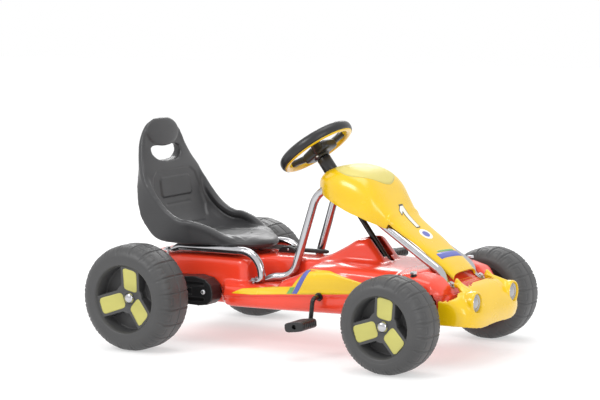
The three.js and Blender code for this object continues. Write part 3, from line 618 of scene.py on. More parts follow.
def wheel_rows(size):
    """Rows of (radius, y, on the face) from the hub's outer end round to its inner end."""
    out, inner = -size["width"] / 2, size["width"] / 2
    ring, r = size["ring"], size["r"]
    lip = [(ring - 8, out + 10), (ring - 5.5, out + 5), (ring - 3, out + 1.8), (ring + 1, out + 0.6)]
    side = [(ring + 6, out + 0.9), (r - 32, out + 0.4), (r - 24, out + 1.8), (r - 15, out + 6.5)]
    side += [(r - 7, out + 15), (r - 2.2, out + 27), (r, out + 43), (r, -4)]
    side = spline(side, 6).tolist() + [(r, -2.2), (r, -1.4), (r, -0.6), (r, 0)]
    plain = [*spline(lip, 4), *side, *((a, -b) for a, b in side[-2::-1])]
    plain += [(ring, inner - 1), (ring - 3, inner - 4), (ring - 6, inner - 20), (ring - 6, inner - 66)]
    plain += [(ring - 10, inner - 70), (30, inner - 70), (26, inner - 66), (24, inner - 18)]
    plain += [(22, inner - 16), (BORE, inner - 16)]
    rows = [(BORE, out + size["dish"] + 8, False), (BORE, out + size["dish"] + 4.5, False)]
    rows += [(radius, 0, True) for radius in np.arange(8, ring - 8, 1.3)]
    return rows + [(a, b, False) for a, b in plain]


def on_wheel(size, side, points):
    points = np.array(points, float).reshape(-1, 3)
    if side > 0:
        points[:, :2] *= -1
    return points + [size["x"], side * size["track"] / 2, size["r"]]


def wheel(end, size, name, side, body):
    angles = wheel_angles()
    count = len(angles)
    rings = []
    for radius, y, face in wheel_rows(size):
        ys, rs = np.full(count, float(y)), np.full(count, float(radius))
        if face:
            ys = wheel_face(size, rs, angles)
        if radius > size["ring"]:
            rs = tread_radius(size, radius, angles, ys)
        rings.append(np.column_stack([rs * np.cos(angles), ys, rs * np.sin(angles)]))
    faces = grid_faces(len(rings), count, wrap=True, ring=True)
    tyre = (on_wheel(size, side, rings), faces)
    fitted(f"{end}_tyre_{name}", tyre, TYRE_GREY, body, f"{end}_wheel_{name}", slot="tyre_grey")
    for k, spoke in enumerate(SPOKES):
        patch = wheel_sticker(size, side, spoke)
        fitted(f"{end}_sticker_{name}_{k + 1}", patch, STICKER_OLIVE, body)
    cap = hub_cap(size, side)
    fitted(f"{end}_cap_{name}", cap, CHROME, body, f"{end}_hub_cap_{name}", slot="chrome")


def wheel_sticker(size, side, spoke):
    """A rounded four-sided patch on one spoke, lying on the face."""
    start, end, half, corner, columns = 19, size["sticker"], 22.5, 9, 13
    along = np.linspace(start, end, 22)
    ends = np.clip(np.maximum(start + corner - along, along - end + corner) / corner, 0, 1)
    width = half - corner * (1 - np.sqrt(1 - ends**2))
    width = width * (0.93 + 0.07 * (along - start) / (end - start))
    a, c = np.repeat(along[:, None], columns, 1), width[:, None] * np.linspace(-1, 1, columns)
    radius, angle = np.hypot(a, c), np.arctan2(c, a) + spoke
    y = wheel_face(size, radius, angle)
    x, z = radius * np.cos(angle), radius * np.sin(angle)
    points, faces = sheet_mesh(*(np.stack([x, y + lift, z], -1) for lift in (-0.55, 0.4)))
    return on_wheel(size, side, points), faces


def hub_cap(size, side):
    dome = [(0, -8.6), (4, -8.4), (8, -7.4), (11.5, -5.4), (13.6, -3), (14.4, -1), (15, 0.4), (15, 3.4)]
    points, faces = lathe_mesh(spline(dome, 3).tolist() + [(0, 3.4)], 48)
    points = points[:, [0, 2, 1]]
    points[:, 1] += -size["width"] / 2 + size["dish"]
    return on_wheel(size, side, points), faces


def add_wheels():
    for name, side in SIDES:
        rear_body = "rear_axle_unit" if side > 0 else "rear_wheel_free"
        wheel("rear", REAR, name, side, rear_body)
        wheel("front", FRONT, name, side, f"front_wheel_{name}_unit")


# --- moulded body
BODY_HALF = 156
HULL = [
    (-486, 94, 128, 200), (-474, 108, 108, 206), (-300, 110, 102, 190), (-244, 112, 101, 180),
    (-231, 130, 101, 176), (-216, 148, 101, 173), (-192, BODY_HALF, 101, 170), (-60, BODY_HALF, 102, 173),
    (110, BODY_HALF, 104, 190), (250, 152, 106, 190), (320, 156, 108, 190),
    (430, 156, 108, 190), (462, 138, 118, 182),
]
SEAT_BLOCK = [
    (-489, 88, 160, 236), (-476, 106, 150, 241), (-300, 112, 150, 240),
    (-186, 112, 150, 238), (-166, 104, 160, 230),
]
SPINE = [(-200, 46, 150, 237), (-24, 46, 150, 238), (-12, 58, 150, 238), (60, 58, 150, 238)]
SHOULDERS = [
    (-46, 142, 150, 188), (0, 152, 150, 205), (50, 154, 150, 236),
    (120, 154, 150, 244), (230, 150, 150, 240), (330, 150, 150, 234),
]
HUMP = [
    (18, 50, 180, 240), (60, 58, 180, 254), (110, 62, 180, 280), (140, 62, 180, 299),
    (172, 60, 180, 302), (196, 60, 180, 272), (222, 58, 180, 240),
]
FRONT_DECK = [
    (285, 140, 165, 226), (330, 176, 165, 238), (380, 184, 165, 241),
    (425, 180, 165, 228), (450, 156, 165, 204),
]
RAMP_TURN = math.atan2(246, 388)
SEAM = (149.7, 0.0724)
WALL = 3.6
KINGPIN = (FRONT["x"], 163)
CRANK = (88, 156)
AXLE_HOLE = 13
BESIDE = 230.0
BAND_TOP = [
    (-186, 146), (-157, 159), (-60, 169), (1, 175.5), (20, 198), (42, 222),
    (60, 225), (117, 225), (163, 212), (211, 201), (286, 193),
]
BAND_FOOT = [(-186, 145), (-120, 146), (-40, 152.5), (60, 159.5), (160, 167), (240, 172.5), (286, 176)]
STRIPES = (  # two slanted stripes at the foot of the band's step
    ("blue", STICKER_BLUE, [(3, 157), (40, 220)], [(19, 158), (57, 223)]),
    ("green", STICKER_GREEN, [(-13, 156), (-3, 173)], [(2, 157), (12, 176)]),
)


def body_recesses():
    """The ramp in the nose, grooves for the frame's legs, and a bowl round each kingpin."""
    ramp = box_mesh((160, 200, 80), (-50, 0, 40))
    tools = [turned(ramp, about_y(RAMP_TURN), (440, 0, 200.6))]
    for _, side in SIDES:
        x, y = KINGPIN
        tools.append(rod_mesh((-52, side * 59.5, 185), (40, side * 54, 466), 12.9))
        bowl = [(0, -8), (16, -7), (23, 0), (25, 8), (0, 8)]
        tools.append(turned(lathe_mesh(bowl, 40), np.diag([1.15, 0.85, 1.0]), (x, side * y, 241)))
    return tools


def cross_rod(x, z, radius):
    """A cutting rod right across the body."""
    return rod_mesh((x, -200, z), (x, 200, z), radius)


def body_openings():
    """Holes for the crank, axle, column and kingpins, and the arches that the knuckles swing in."""
    tools = [
        cross_rod(*CRANK, 11),
        cross_rod(REAR["x"], REAR["r"], AXLE_HOLE),
        rod_mesh(on_column(250), on_column(430), 15),
        turned(box_mesh((60, 56, 110), (0, 0, 0)), about_y(-TILT), on_column(305, -18)),
    ]
    for _, side in SIDES:
        x, y = KINGPIN
        tools.append(rod_mesh((x, side * y, 80), (x, side * y, 260), 8.2))
        tools.append(box_mesh((140, 94, 76), (x - 10, side * 192, 150)))
    return tools


def seam_lip(points, normals):
    """The upper half overhangs the lower one a little, all round the seam."""
    above = points[:, 2] - (SEAM[0] + SEAM[1] * points[:, 0])
    upright = np.clip(1 - abs(normals[:, 2]) * 1.6, 0, 1)
    lip = 2.0 * (step(above, -3, 0) - step(above, 5.5, 9.5))
    return upright * (lip - 0.8 * fall(above, -4, -1))


def side_ridge(points, normals):
    """A shallow step along the top of the yellow side band."""
    x, y, z = points.T
    line = np.interp(x, [-188, -157, 1, 42, 117, 163, 211, 290], [145, 161, 177, 224, 227, 214, 203, 195])
    inside = step(line - z, -1.5, 2.5) * step(x, -186, -176) * fall(x, 280, 292)
    return 1.6 * inside * (abs(y) > 130) * np.clip(1 - abs(normals[:, 2]) * 1.2, 0, 1)


def body_skin():
    blocks = [
        block(HULL, 5, 5), block(SEAT_BLOCK, 5, 5), block(SPINE, 7, 4),
        block(SHOULDERS, 4, 5), block(HUMP, 5, 5), block(FRONT_DECK, 4, 5),
    ]
    skin = moulding("body_skin", blocks, body_recesses(), 4.0, 12, RED)
    displaced(skin, side_ridge)
    displaced(skin, seam_lip)
    return skin


def shell_half(skin, name, way):
    """The part of the skin above (way 1) or below the seam, as a thin wall with its openings."""
    obj = skin.copy()
    obj.data = skin.data.copy()
    obj.name = name
    bpy.context.scene.collection.objects.link(obj)
    lean = math.atan(SEAM[1])
    work = bmesh.new()
    work.from_mesh(obj.data)
    bmesh.ops.bisect_plane(
        work,
        geom=work.verts[:] + work.edges[:] + work.faces[:],
        plane_co=(0, 0, (SEAM[0] + 0.2 * way) * MM),
        plane_no=(-way * math.sin(lean), 0, way * math.cos(lean)),
        clear_inner=True,
    )
    work.to_mesh(obj.data)
    work.free()
    wall = obj.modifiers.new("wall", "SOLIDIFY")
    wall.thickness = WALL * MM
    wall.offset = -1.0
    baked(obj)
    for tool in body_openings():
        careful_cut(obj, tool)
    return obj


def careful_cut(obj, tool):
    """Cuts one tool out, with a second solver if the first one loses the mesh."""
    whole = obj.data.copy()
    for solver in ("EXACT", "FAST"):
        cut(obj, [tool], RED, solver)
        if len(obj.data.vertices) > 0.85 * len(whole.vertices):
            return
        obj.data = whole.copy()
    raise RuntimeError(f"{obj.name}: a cut lost the mesh")


def on_side(name, side, tree, grid, material, lift, slot=None):
    """A sticker over a grid of (x, z), shot at the body from beside it."""
    starts = np.stack([grid[..., 0], np.full(grid.shape[:2], side * BESIDE), grid[..., 1]], -1)
    placed(draped(name, tree, starts, (0, -side, 0), material, lift), "chassis", slot=slot)


def add_body():
    skin = body_skin()
    tree = surface_of(skin)
    for way, name in ((1, "upper"), (-1, "lower")):
        piece = shell_half(skin, f"body_{name}", way)
        placed(piece, "chassis", f"body_{name}_shell", slot="red_plastic")
    for name, side in SIDES:
        band = band_grid(BAND_TOP, BAND_FOOT, 90, 10)
        on_side(f"side_band_{name}", side, tree, band, YELLOW, 0.6, slot="yellow_plastic")
        for colour, material, rear, front in STRIPES:
            on_side(f"side_{colour}_{name}", side, tree, band_grid(rear, front, 16, 5), material, 0.9)
    bpy.data.objects.remove(skin)


# --- steering column line
TILT = math.radians(36.5)
RIM_MIDDLE = (-9, 536)


def on_column(s, off=0.0, y=0.0):
    """A point on the steering column: s along it from the rim's middle, off sideways in its plane."""
    x, z = RIM_MIDDLE
    return np.array([
        x + s * math.sin(TILT) - off * math.cos(TILT),
        y,
        z - s * math.cos(TILT) - off * math.sin(TILT),
    ])


def to_column(mesh, s):
    return turned(mesh, about_y(-TILT), on_column(s))


# --- bumper and headlights
NOSE_ROWS = [(5, 212), (34, 207), (60, 194), (80, 170), (92, 142), (94, 119), (88, 97)]
NOSE_HALF = 163
LAMP = (529, 107, 164)


def nose_grid(inset, columns=72):
    """The bumper's skin: rows that bow forward, wrapped round to the sides."""
    rows = []
    a = np.pi * (np.arange(columns + 1) / columns - 0.5)
    y = (NOSE_HALF - inset) * bend(np.sin(a), 4.5)
    side = abs(y / NOSE_HALF) ** 4
    for reach, z in spline(NOSE_ROWS, 7):
        x = 442 + (reach - inset) * abs(bend(np.cos(a), 4.5))
        height = z + (142 - z) * side * (0.6 if z > 142 else 0.25)
        wave = 3.0 * np.cos(y / 26.0) * (1 - side) * step(-z, -104, -92)
        rows.append(np.column_stack([x, y, height + wave]))
    return np.array(rows)


def add_bumper():
    parts, tools = [sheet_mesh(nose_grid(0), nose_grid(4.2))], []
    bulge = [(0, 496), (25, 497), (28, 503), (30, 515), (30.2, 524), (28.6, 529), (25, 530), (0, 530)]
    ear = [(452, 197), (456, 221), (459, 222), (474, 208), (504, 190)]
    x, y, z = LAMP
    for _, side in SIDES:
        points, faces = lathe_mesh(bulge, 48)
        parts.append((points[:, [2, 0, 1]] + [0, side * y, z], faces))
        parts.append(extruded_y(ear, side * 88 - 6, side * 88 + 6))
        parts.append(rod_mesh((520, side * y, z), (466, side * 90, 204), 25, end_radius=7))
        tools.append(rod_mesh((x - 9, side * y, z), (x + 20, side * y, z), 24.6))
    bumper = moulding("bumper", parts, tools, 2.2, 7, YELLOW)
    placed(bumper, "chassis", "front_bumper", slot="yellow_plastic")
    for name, side in SIDES:
        add_headlight(name, side)


def add_headlight(name, side):
    """A silvered lens with a domed middle and a ribbed rim, sunk in its bulge."""
    profile = [(0, 4.6), (6, 4.3), (11, 3.4), (14.5, 2.2), (15.6, 1.0), (17, 2.0), (18.2, 1.0)]
    profile += [(19.6, 2.0), (20.8, 1.0), (22.2, 1.9), (23.2, 0.6), (23.6, -3)]
    points, faces = lathe_mesh(spline(profile, 3).tolist() + [(0, -3)], 64)
    points = points[:, [2, 0, 1]] + [LAMP[0] - 7.0, side * LAMP[1], LAMP[2]]
    fitted(f"lamp_{name}", (points, faces), LENS, "chassis", f"headlight_{name}", slot="lamp_lens")


# --- hood
HOOD = [
    (20, 28, 450, 440), (29, 46, 464, 430), (48, 68, 478, 418), (76, 91, 488, 408),
    (110, 105, 493, 395), (150, 110, 488, 378), (185, 110, 474, 366), (210, 107, 452, 356),
    (232, 96, 418, 346), (250, 88, 388, 338), (258, 85, 377, 349), (270, 77, 362, 337),
    (300, 76, 335, 318), (340, 73, 306, 293), (380, 68, 278, 256), (410, 66, 256, 234),
    (438, 63, 229, 211),
]
ABOVE = 640.0


def hood_grid(inset, columns=56):
    rows = []
    for x, half, top, edge in spline(HOOD, 4):
        a = np.pi * np.arange(columns + 1) / columns
        y = -(half - inset) * bend(np.cos(a), 3.4)
        z = edge + (top - edge - inset) * bend(np.sin(a), 3.4)
        rows.append(np.column_stack([np.full(columns + 1, x), y, z]))
    rows = np.array(rows)
    rows[0, :, 0] += inset
    rows[-1, :, 0] -= inset
    return rows


def add_hood():
    hood = mesh_object("hood_cover", *sheet_mesh(hood_grid(0), hood_grid(WALL)), YELLOW)
    tools = [rod_mesh(on_column(40), on_column(130), 19.8)]
    tools += [sweep(frame_path(side), round_section(12.6), sides=24) for _, side in SIDES]
    cut(hood, tools, YELLOW)
    shaded_smooth(hood)
    edge = hood.modifiers.new("edge", "BEVEL")
    edge.width = 1.2 * MM
    edge.segments = 2
    edge.angle_limit = math.radians(50)
    baked(hood)
    placed(hood, "chassis", "hood", slot="yellow_plastic")
    add_hood_stickers(surface_of(hood))


def on_hood(name, tree, x, y, material, lift):
    """A sticker over a grid of points, shot down at the hood."""
    starts = np.stack([x, y, np.full(x.shape, ABOVE)], -1)
    placed(draped(name, tree, starts, (0, 0, -1), material, lift), "chassis")


def add_hood_stickers(tree):
    discs = (
        ("oval", 141, (75, 88), STICKER_PALE, 0.5),
        ("badge", 324, (16, 24), STICKER_WHITE, 0.5),
        ("badge_middle", 324, (9, 14), STICKER_BLUE, 0.9),
    )
    for name, x, half, material, lift in discs:
        u, v = disc_grid(*half, 25)
        on_hood(f"hood_{name}", tree, x + u, v, material, lift)
    stripes = (("blue", STICKER_BLUE, 384, 401, 52), ("green", STICKER_GREEN, 378, 383, 38))
    for name, material, start, end, half in stripes:
        rear, front = ([(x - 3, -half), (x + 3, half)] for x in (start, end))
        grid = band_grid(rear, front, 30, 4)
        on_hood(f"hood_{name}", tree, grid[..., 0], grid[..., 1], material, 0.5)
    add_number_one(tree)


def add_number_one(tree):
    """A plain figure 1 down the slope behind the badge, dark with a white middle."""
    strokes = (
        ([(250, -8), (250, 8)], [(300, -8), (300, 8)]),
        ([(250, -7), (258, -7)], [(257, -22), (264, -22)]),
    )
    layers = ((1, STICKER_INK, 2.6, 0.5), (2, STICKER_WHITE, 0.0, 0.9))
    for layer, material, grow, lift in layers:
        for k, stroke in enumerate(strokes):
            grid = band_grid(*stroke, 9, 33)
            flat = grid.reshape(-1, 2)
            middle, half = flat.mean(axis=0), np.ptp(flat, axis=0) / 2
            x, y = np.moveaxis(middle + (grid - middle) * (1 + grow / half), -1, 0)
            on_hood(f"figure_{layer}_{k + 1}", tree, x, y, material, lift + 0.1 * k)


# --- frame tubes, seat rails and bolts
TUBE_R = 11.3
FLAT_SPREAD, FLAT_HALF = 3.4, 1.7
RAIL_X, RAIL_Y, RAIL_Z = -120, 109, 254
BOLT_SPOTS = {
    "frame_foot": (-150, 82, 174, 0.0),
    "frame_front": (440, 85, 201, RAMP_TURN),
    "rail_foot": (-146, RAIL_Y, 174, 0.0),
    "rail_rear": (-424, RAIL_Y, 242.5, 0.0),
}


def frame_path(side):
    corners = [(-128, side * 78, 185), (-52, side * 59.5, 185), (40, side * 54, 466), (428, side * 84, 222.5)]
    return bent_path(corners, [48, 65])


def with_ends(path, start, end=None, reach=34.0):
    """The path with its last stretches led down to flattened ends, each given as a tip and a knee."""
    lengths = arc_lengths(path)
    kept = path[lengths > reach]
    if end is None:
        return np.vstack([eased(*start, kept[0]), kept])
    kept = path[(lengths > reach) & (lengths < lengths[-1] - reach)]
    return np.vstack([eased(*start, kept[0]), kept, eased(*end, kept[-1])[::-1]])


def eased(tip, knee, joint):
    """From a flat end's tip through its knee and up to the round tube."""
    tip, knee = np.asarray(tip, float), np.asarray(knee, float)
    flat = [tip + (knee - tip) * t for t in np.linspace(0, 1, 7)]
    rise = []
    for t in np.linspace(0, 1, 9)[1:-1]:
        share = np.array([t, t, 0.35 * t + 0.65 * step(t, 0, 1)])
        rise.append(knee + (joint - knee) * share)
    return np.array(flat + rise)


def flattened(flat_start, flat_end, ease=26.0):
    """A tube section that is pressed flat and rounded off at its ends."""
    def section(s, total):
        left = total - s
        near = float(min(step(s, flat_start, flat_start + ease), step(left, flat_end, flat_end + ease)))
        tip = math.sqrt(max(0.05, 1 - max(0.0, 1 - min(s, left) / 11.0) ** 2))
        wide = (TUBE_R + FLAT_SPREAD * (1 - near)) * tip
        return wide, FLAT_HALF + (TUBE_R - FLAT_HALF) * near, 2 + 2.5 * (1 - near)
    return section


def frame_mesh(side):
    down = np.array([math.cos(RAMP_TURN), 0, -math.sin(RAMP_TURN)])
    spot = np.array([440, side * 85, 202.9])
    start = ((-162, side * 84.5, 175.8), (-136, side * 79, 175.8))
    path = with_ends(frame_path(side), start, (spot + 12.5 * down, spot - 12 * down))
    return sweep(path, flattened(26, 24), sides=32)


def rail_mesh(side):
    y = side * RAIL_Y
    path = bent_path([(-410, y, RAIL_Z), (RAIL_X, y, RAIL_Z), (RAIL_X, y, 184)], [62])
    path = with_ends(path, ((-436, y, 244.3), (-412, y, 244.3)), reach=26)
    foot = bent_path([path[-1] + [0, 0, 8], (RAIL_X, y, 176), (-158, y, 175.9)], [9], 3)
    return sweep(np.vstack([path[:-3], foot]), flattened(24, 28, 20), sides=32)


def add_tubes():
    for name, side in SIDES:
        fitted(f"frame_{name}", frame_mesh(side), CHROME, "chassis", f"frame_tube_{name}", slot="chrome")
        fitted(f"rail_{name}", rail_mesh(side), CHROME, "chassis", f"seat_rail_{name}", slot="chrome")
        for place, (x, y, z, lean) in BOLT_SPOTS.items():
            bolt, node = bolt_mesh((x, side * y, z), lean), f"{place}_bolt_{name}"
            fitted(f"{place}_screw_{name}", bolt, ZINC, "chassis", node, slot="zinc_steel", smooth=False)


def hexagon(radius, z):
    return [(radius * math.cos(a), radius * math.sin(a), z) for a in np.arange(6) * math.pi / 3]


def bolt_mesh(at, lean):
    """A washer, a chamfered hexagon head and a shank, leaning with its tab."""
    washer = lathe_mesh([(0, 3.4), (8.6, 3.4), (9.2, 3.8), (9.2, 4.4), (8.6, 4.8), (0, 4.8)], 32)
    head = tube_mesh([hexagon(6.9, 4.7), hexagon(7.1, 5.0), hexagon(7.1, 8.0), hexagon(6.0, 8.9)])
    shank = rod_mesh((0, 0, -13), (0, 0, 4), 3.8, 16)
    return turned(joined([washer, head, shank]), about_y(lean), at)


# --- seat
SEAT = [  # x, z, rim x, half-width, rim z, then behind: x, z, rim x, rim z
    (-151, 257, -186, 106, 270, -154, 254, -188, 262),
    (-145, 267, -188, 110, 284, -158, 255, -194, 263),
    (-162, 279, -204, 118, 296, -172, 259, -214, 264),
    (-212, 291, -246, 132, 320, -216, 266, -252, 266),
    (-290, 286, -295, 143, 332, -292, 266, -300, 266),
    (-378, 289, -360, 145, 334, -392, 267, -372, 266),
    (-430, 317, -405, 147, 356, -462, 284, -433, 272),
    (-457, 363, -440, 147, 392, -498, 342, -474, 303),
    (-467, 408, -464, 146, 425, -511, 404, -499, 342),
    (-473, 450, -484, 138, 458, -513, 450, -511, 400),
    (-490, 490, -500, 122, 490, -522, 494, -517, 446),
    (-505, 528, -508, 108, 524, -525, 530, -522, 500),
    (-511, 562, -511, 94, 556, -526, 564, -525, 544),
    (-514, 582, -514, 70, 580, -526, 584, -526, 578),
    (-517, 598, -517, 34, 596, -523, 598, -523, 596),
]
NOSE_SWEEP = 0.0058
BACK_INSET = 6


def seat_rows():
    """The seat's rows, with the weight of the rounded plan of its nose on each."""
    rows = spline(SEAT, 5)
    weights = np.interp(np.arange(len(rows)), [0, 10, 25], [1.0, 1.0, 0.0])
    return [(*row, weight) for row, weight in zip(rows, weights)]


def seat_x(x, rim, half, u, weight):
    """X across a row: pulled to the rim at the sides, and swept back like a bow at the nose."""
    y = half * np.sin(u * np.pi / 2)
    return x + (rim - x) * abs(u) ** 3 * (1 - weight) - weight * NOSE_SWEEP * y * y


def seat_grid(behind, columns=60):
    rows = []
    u = np.linspace(-1, 1, columns + 1)
    for *front, half, rim_z, back_x, back_z, rim_back_x, rim_back_z, weight in seat_rows():
        x, z, rim_x = front
        if behind:
            x, z, rim_x, rim_z, half = back_x, back_z, rim_back_x, rim_back_z, half - BACK_INSET
        y = half * np.sin(u * np.pi / 2)
        height = z + (rim_z - z) * abs(u) ** 3
        rows.append(np.column_stack([seat_x(x, rim_x, half, u, weight), y, height]))
    return np.array(rows)


def slot_tool():
    """The curved hand slot under the headrest."""
    y = np.linspace(-70, 70, 33)
    x = np.full(33, -560.0)
    nose = 18 * np.clip(1 - (abs(y) / 71) ** 6, 0.2, 1)
    lower = np.column_stack([x, y, 499 + 6 * (y / 70) ** 2 - nose])
    upper = np.column_stack([x, y, 503 + 9 * (y / 70) ** 2 + nose])
    ring = np.vstack([lower, upper[::-1]])
    return tube_mesh([ring, ring + [110, 0, 0]])


def seat_bead():
    """Rows of (x, y, z, radius) along half of the rounded roll round the seat's edge."""
    rows = []
    for y in (0, 25, 50, 75):
        rows.append((-160 - NOSE_SWEEP * y * y, y, 262 + 0.0010 * y * y, 9.5))
    for x, _, rim_x, half, rim_z, back_x, _, rim_back_x, rim_back_z, weight in seat_rows()[3:]:
        front = seat_x(x, rim_x, half, 1.0, weight)
        back = seat_x(back_x, rim_back_x, half - BACK_INSET, 1.0, weight)
        thick = math.hypot(back - front, rim_back_z - rim_z)
        inward = min(11.0, 0.46 * thick)
        along = np.array([back - front, rim_back_z - rim_z]) / thick * inward
        rows.append((front + along[0], max(half - inward, 4.0), rim_z + along[1], inward))
    return np.array(rows)


def bead_mesh():
    half_loop = seat_bead()
    path = np.vstack([half_loop, half_loop[:0:-1] * [1, -1, 1, 1]])
    tangents = np.roll(path[:, :3], -1, 0) - np.roll(path[:, :3], 1, 0)
    angles = round_angles(20)[:, None]
    guide = np.array([0.83, 0.0, 0.55])
    rings = []
    for (*middle, radius), tangent in zip(path, tangents):
        t = unit(tangent)
        a = unit(guide - (guide @ t) * t)
        b = np.cross(t, a)
        rings.append(np.array(middle) + radius * (np.cos(angles) * a + np.sin(angles) * b))
    return tube_mesh(rings, closed=True)


def seat_relief(points, normals):
    """The headrest's pillow, the recessed back panel with its badge plate, and the pan's dip."""
    x, y, z = points.T
    wide = abs(y)
    facing, upward = step(normals[:, 0], 0.2, 0.5), step(normals[:, 2], 0.5, 0.8)
    half = np.interp(z, [306, 320, 350, 400, 440, 457], [66, 96, 114, 116, 104, 80])
    panel = fall(wide - half, -2.5, 2.5) * step(z, 306, 312) * fall(z, 453, 458) * facing
    plate_half = np.interp(z, [380, 388, 430, 438], [66, 74, 72, 62])
    plate = fall(wide - plate_half, -2, 2) * step(z, 380, 384) * fall(z, 434, 438) * facing
    crease = fall(wide - 60, -4, 4) * fall(abs(z - 362), 1.5, 4.0) * facing
    pillow = np.sqrt(np.clip(1 - (y / 78) ** 2 - ((z - 562) / 42) ** 2, 0, 1)) * facing
    pan = fall(wide, 70, 80) * upward * step(-x, 186, 194) * fall(-x, 366, 374)
    notch = fall(wide, 12, 15) * fall(abs(x + 226), 2.5, 5) * upward
    return -3.0 * panel + 3.2 * plate - 1.6 * crease + 9.0 * pillow - 1.4 * pan - 3.5 * notch


def add_seat():
    parts = [sheet_mesh(seat_grid(0), seat_grid(1)), bead_mesh()]
    seat = moulding("seat_shell", parts, [slot_tool()], 2.8, 16, SEAT_GREY)
    displaced(seat, seat_relief)
    smoothed(seat, 2, 0.4)
    placed(seat, "chassis", "seat", slot="grey_plastic")


# --- crank and pedals
PEDAL_Y, PEDAL_LEAN = 240, math.radians(-8)
ARM_Y, CRANK_END = 190, 268


def arm_offset(side):
    return np.array([side * 8, 0, side * 64.5])


def add_crank():
    hub = np.array([CRANK[0], 0, CRANK[1]])
    right, left = hub + arm_offset(-1), hub + arm_offset(1)
    corners = [
        right + [0, -CRANK_END, 0], right + [0, -ARM_Y, 0], hub + [0, -ARM_Y, 0],
        hub + [0, ARM_Y, 0], left + [0, ARM_Y, 0], left + [0, CRANK_END, 0],
    ]
    bar = sweep(bent_path(corners, [13] * 4, 3.0), round_section(6.0), (1.0, 0.02, 0.05), 20)
    fitted("crank", bar, BLACK_PAINT, "crank", "crankshaft", slot="black_steel")
    for name, side in SIDES:
        add_pedal(name, side, hub + arm_offset(side))


def add_pedal(name, side, centre):
    """A block pedal: ribbed treads with rounded ends over a hollow middle."""
    turns = np.linspace(0, 2 * math.pi, 64, endpoint=False)
    outline = [(29 * bend(math.cos(a), 4.5), 13 * bend(math.sin(a), 3.6)) for a in turns]
    y = side * PEDAL_Y
    tools = [rod_mesh((0, y - 60, 0), (0, y + 60, 0), 6.0)]
    for k in range(-3, 4):
        for way in (-1, 1):
            tools.append(box_mesh((54, 4.2, 7), (0, y + 9.4 * k, way * 12.5)))
            tools.append(box_mesh((7, 4.2, 12), (way * 29, y + 9.4 * k, 0)))
    for way in (-1, 1):
        tools.append(box_mesh((12, 56, 12), (way * 18, y, 0)))
    solids = [extruded_y(outline, y - 35, y + 35), *tools]
    core, *tools = (turned(solid, about_y(PEDAL_LEAN), (centre[0], 0, centre[2])) for solid in solids)
    pedal = moulding(f"pedal_block_{name}", [core], tools, 1.3, 3, BLACK)
    placed(pedal, f"pedal_{name}_unit", f"pedal_{name}", slot="black_plastic")


# --- axle brackets
BRACKET_INNER, BRACKET_OUTER = 116, 166


def add_brackets():
    outline = [(-432, 112), (-290, 104), (-262, 108), (-247, 120), (-243, 142), (-249, 163), (-268, 178)]
    outline += [(-300, 185), (-432, 178)]
    head = [(0, 5.2), (3.4, 4.9), (5.8, 3.6), (7, 1.2), (7, 0), (0, 0)]
    for name, side in SIDES:
        y = side * BRACKET_OUTER
        tools = [cross_rod(REAR["x"], REAR["r"], AXLE_HOLE)]
        tools += [box_mesh((110, 14, 12), (-325, y, z)) for z in (122, 164)]
        tools.append(box_mesh((40, 14, 20), (-330, y, 143)))
        parts = [extruded_y(outline, *sorted((side * BRACKET_INNER, y)))]
        bracket = moulding(f"bracket_{name}", parts, tools, 2.0, 4, BLACK)
        placed(bracket, "chassis", f"axle_bracket_{name}", slot="black_plastic")
        points, faces = lathe_mesh(head, 32)
        bolt = (points[:, [0, 2, 1]] * [1, side, 1] + [-272, y, 143], faces)
        fitted(f"bracket_screw_{name}", bolt, ZINC, "chassis", f"bracket_bolt_{name}", slot="zinc_steel")


# --- steering wheel
RIM_R, RIM_ACROSS, RIM_ALONG = 98, 12, 16


def rim_section(start, end, swell=0.0, steps=14):
    """Part of the rim's oval section, between two angles in degrees."""
    arc = []
    for a in np.linspace(math.radians(start), math.radians(end), steps):
        arc.append((RIM_R + (RIM_ACROSS + swell) * math.cos(a), (RIM_ALONG + swell) * math.sin(a)))
    return arc


def add_steering():
    grip = to_column(revolved(rim_section(-50, 130)), 0)
    fitted("rim_grip", grip, BLACK, "steering", "steering_rim", slot="black_plastic")
    ring = to_column(revolved(rim_section(131, 309, -0.6)), 0)
    fitted("rim_ring", ring, YELLOW, "steering", "steering_grip_ring", slot="yellow_plastic")
    stations = [(-40, 24, -14, 6), (-34, 31, -16, 12), (0, 33, -16, 15), (38, 31, -16, 12), (46, 24, -14, 6)]
    parts = [spoke_mesh(angle) for angle in (60, 180, 300)]
    parts += [to_column(block(stations, 5, 5), 14), rod_mesh(on_column(6), on_column(36), 22, edge=2)]
    hub = moulding("wheel_hub", parts, [rod_mesh(on_column(6), on_column(60), 7.9)], 1.8, 4, BLACK)
    placed(hub, "steering", "steering_hub", slot="black_plastic")
    pin = rod_mesh(on_column(29, 0, -28), on_column(29, 0, 32), 3.2, 20)
    fitted("wheel_pin", pin, ZINC, "steering", "steering_bolt", slot="zinc_steel")
    profile = [(8, 0), (17, 0), (18.6, 1.2), (19, 3), (19, 14), (17.6, 15), (17.6, 17), (19, 18), (19, 78)]
    sleeve = to_column(revolved(profile + [(18, 80), (8, 80)], 48), 117.5)
    fitted("sleeve", sleeve, BLACK, "chassis", "column_sleeve", slot="black_plastic")


def spoke_mesh(angle):
    """A thick spoke that drops from the rim's plane down to the hub."""
    stations = [(10, 17, -26, -2), (34, 16, -24, -2), (62, 14, -14, 4), (80, 14, -9, 7), (91, 15, -8, 7)]
    return to_column(turned(block(stations, 4, 4, 32), about_z(math.radians(angle)), (0, 0, 0)), 0)


# --- hand brake lever and small fittings
LEVER = (-112, 30, 246.5)


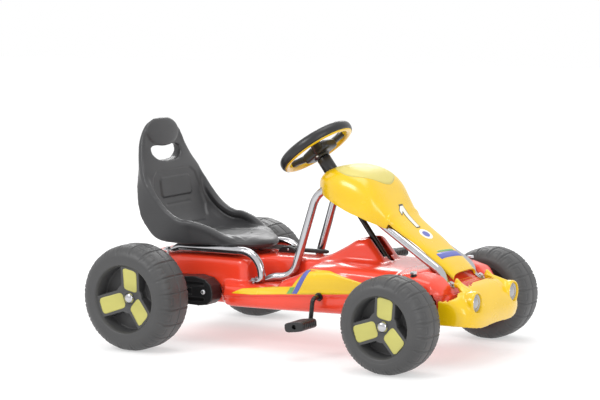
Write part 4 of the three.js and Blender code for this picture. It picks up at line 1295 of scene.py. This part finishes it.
def add_lever():
    x, y, z = LEVER
    dome = [(-34, -8), (26, -8), (22, 2), (12, 8), (0, 10), (-16, 8), (-28, 2)]
    dome = [(x + u, z + v) for u, v in dome]
    tools = [box_mesh((90, 12.8, 40), (x + 12, y, z + 14)), rod_mesh((x, y - 6.4, z), (x, y + 6.4, z), 9)]
    base = moulding("lever_base", [extruded_y(dome, y - 13, y + 13)], tools, 1.2, 3, BLACK)
    placed(base, "chassis", "brake_lever_base", slot="black_plastic")
    bar = [(-6, 5, 5), (20, 5.6, 5.6), (60, 5.8, 6), (104, 5.8, 6), (116, 5.4, 5.4), (122, 3, 3)]
    points, faces = block([(x + u, half, z - tall, z + tall) for u, half, tall in bar], 4, 4, 32)
    parts = [(points + [0, y, 0], faces), rod_mesh((x, y - 6, z), (x, y + 6, z), 7.2)]
    handle = moulding("lever_handle", parts, [], 1.2, 3, BLACK)
    placed(handle, "hand_brake", "brake_lever", slot="black_plastic")
    pin = rod_mesh((x, y - 14.6, z), (x, y + 14.6, z), 3, 20)
    fitted("lever_axle", pin, ZINC, "chassis", "brake_lever_pin", slot="zinc_steel")


def add_kingpin_nuts():
    rings = ((9.4, 236.6), (9.8, 237.2), (9.8, 241.4), (8.4, 242.8))
    points, faces = tube_mesh([hexagon(radius, z) for radius, z in rings])
    for name, side in SIDES:
        mesh, node = (points + [KINGPIN[0], side * KINGPIN[1], 0], faces), f"kingpin_nut_{name}"
        fitted(f"kingpin_cap_{name}", mesh, ZINC, node_body(node), node, slot="zinc_steel", smooth=False)


def node_body(node):
    """The body that a CAD node rides on, by the record."""
    for body, members in frame["record"]["behaviour"]["bodies"].items():
        if node in members:
            return body
    return "chassis"


HIDDEN_METALS = {
    "rear_axle": ZINC, "axle_bush_right": DARK_GREY, "axle_bush_left": DARK_GREY,
    "crank_sprocket": GREASED, "axle_sprocket": GREASED, "chain": GREASED,
    "crank_bush_right": BLACK, "crank_bush_left": BLACK, "steering_shaft": BLACK_PAINT,
    "knuckle_right": BLACK_PAINT, "knuckle_left": BLACK_PAINT,
    "tie_rod_right": ZINC, "tie_rod_left": ZINC,
}


def finish_frame_nodes():
    for name, material in HIDDEN_METALS.items():
        node = frame["nodes"][name]
        if not node.material_slots:
            raise RuntimeError(f"{name} has no material slot")
        for slot in node.material_slots:
            slot.material = material


# --- everything, in order
add_camera()
add_studio()
add_wheels()
add_body()
add_bumper()
add_hood()
add_tubes()
add_seat()
add_crank()
add_brackets()
add_steering()
add_lever()
add_kingpin_nuts()
finish_frame_nodes()
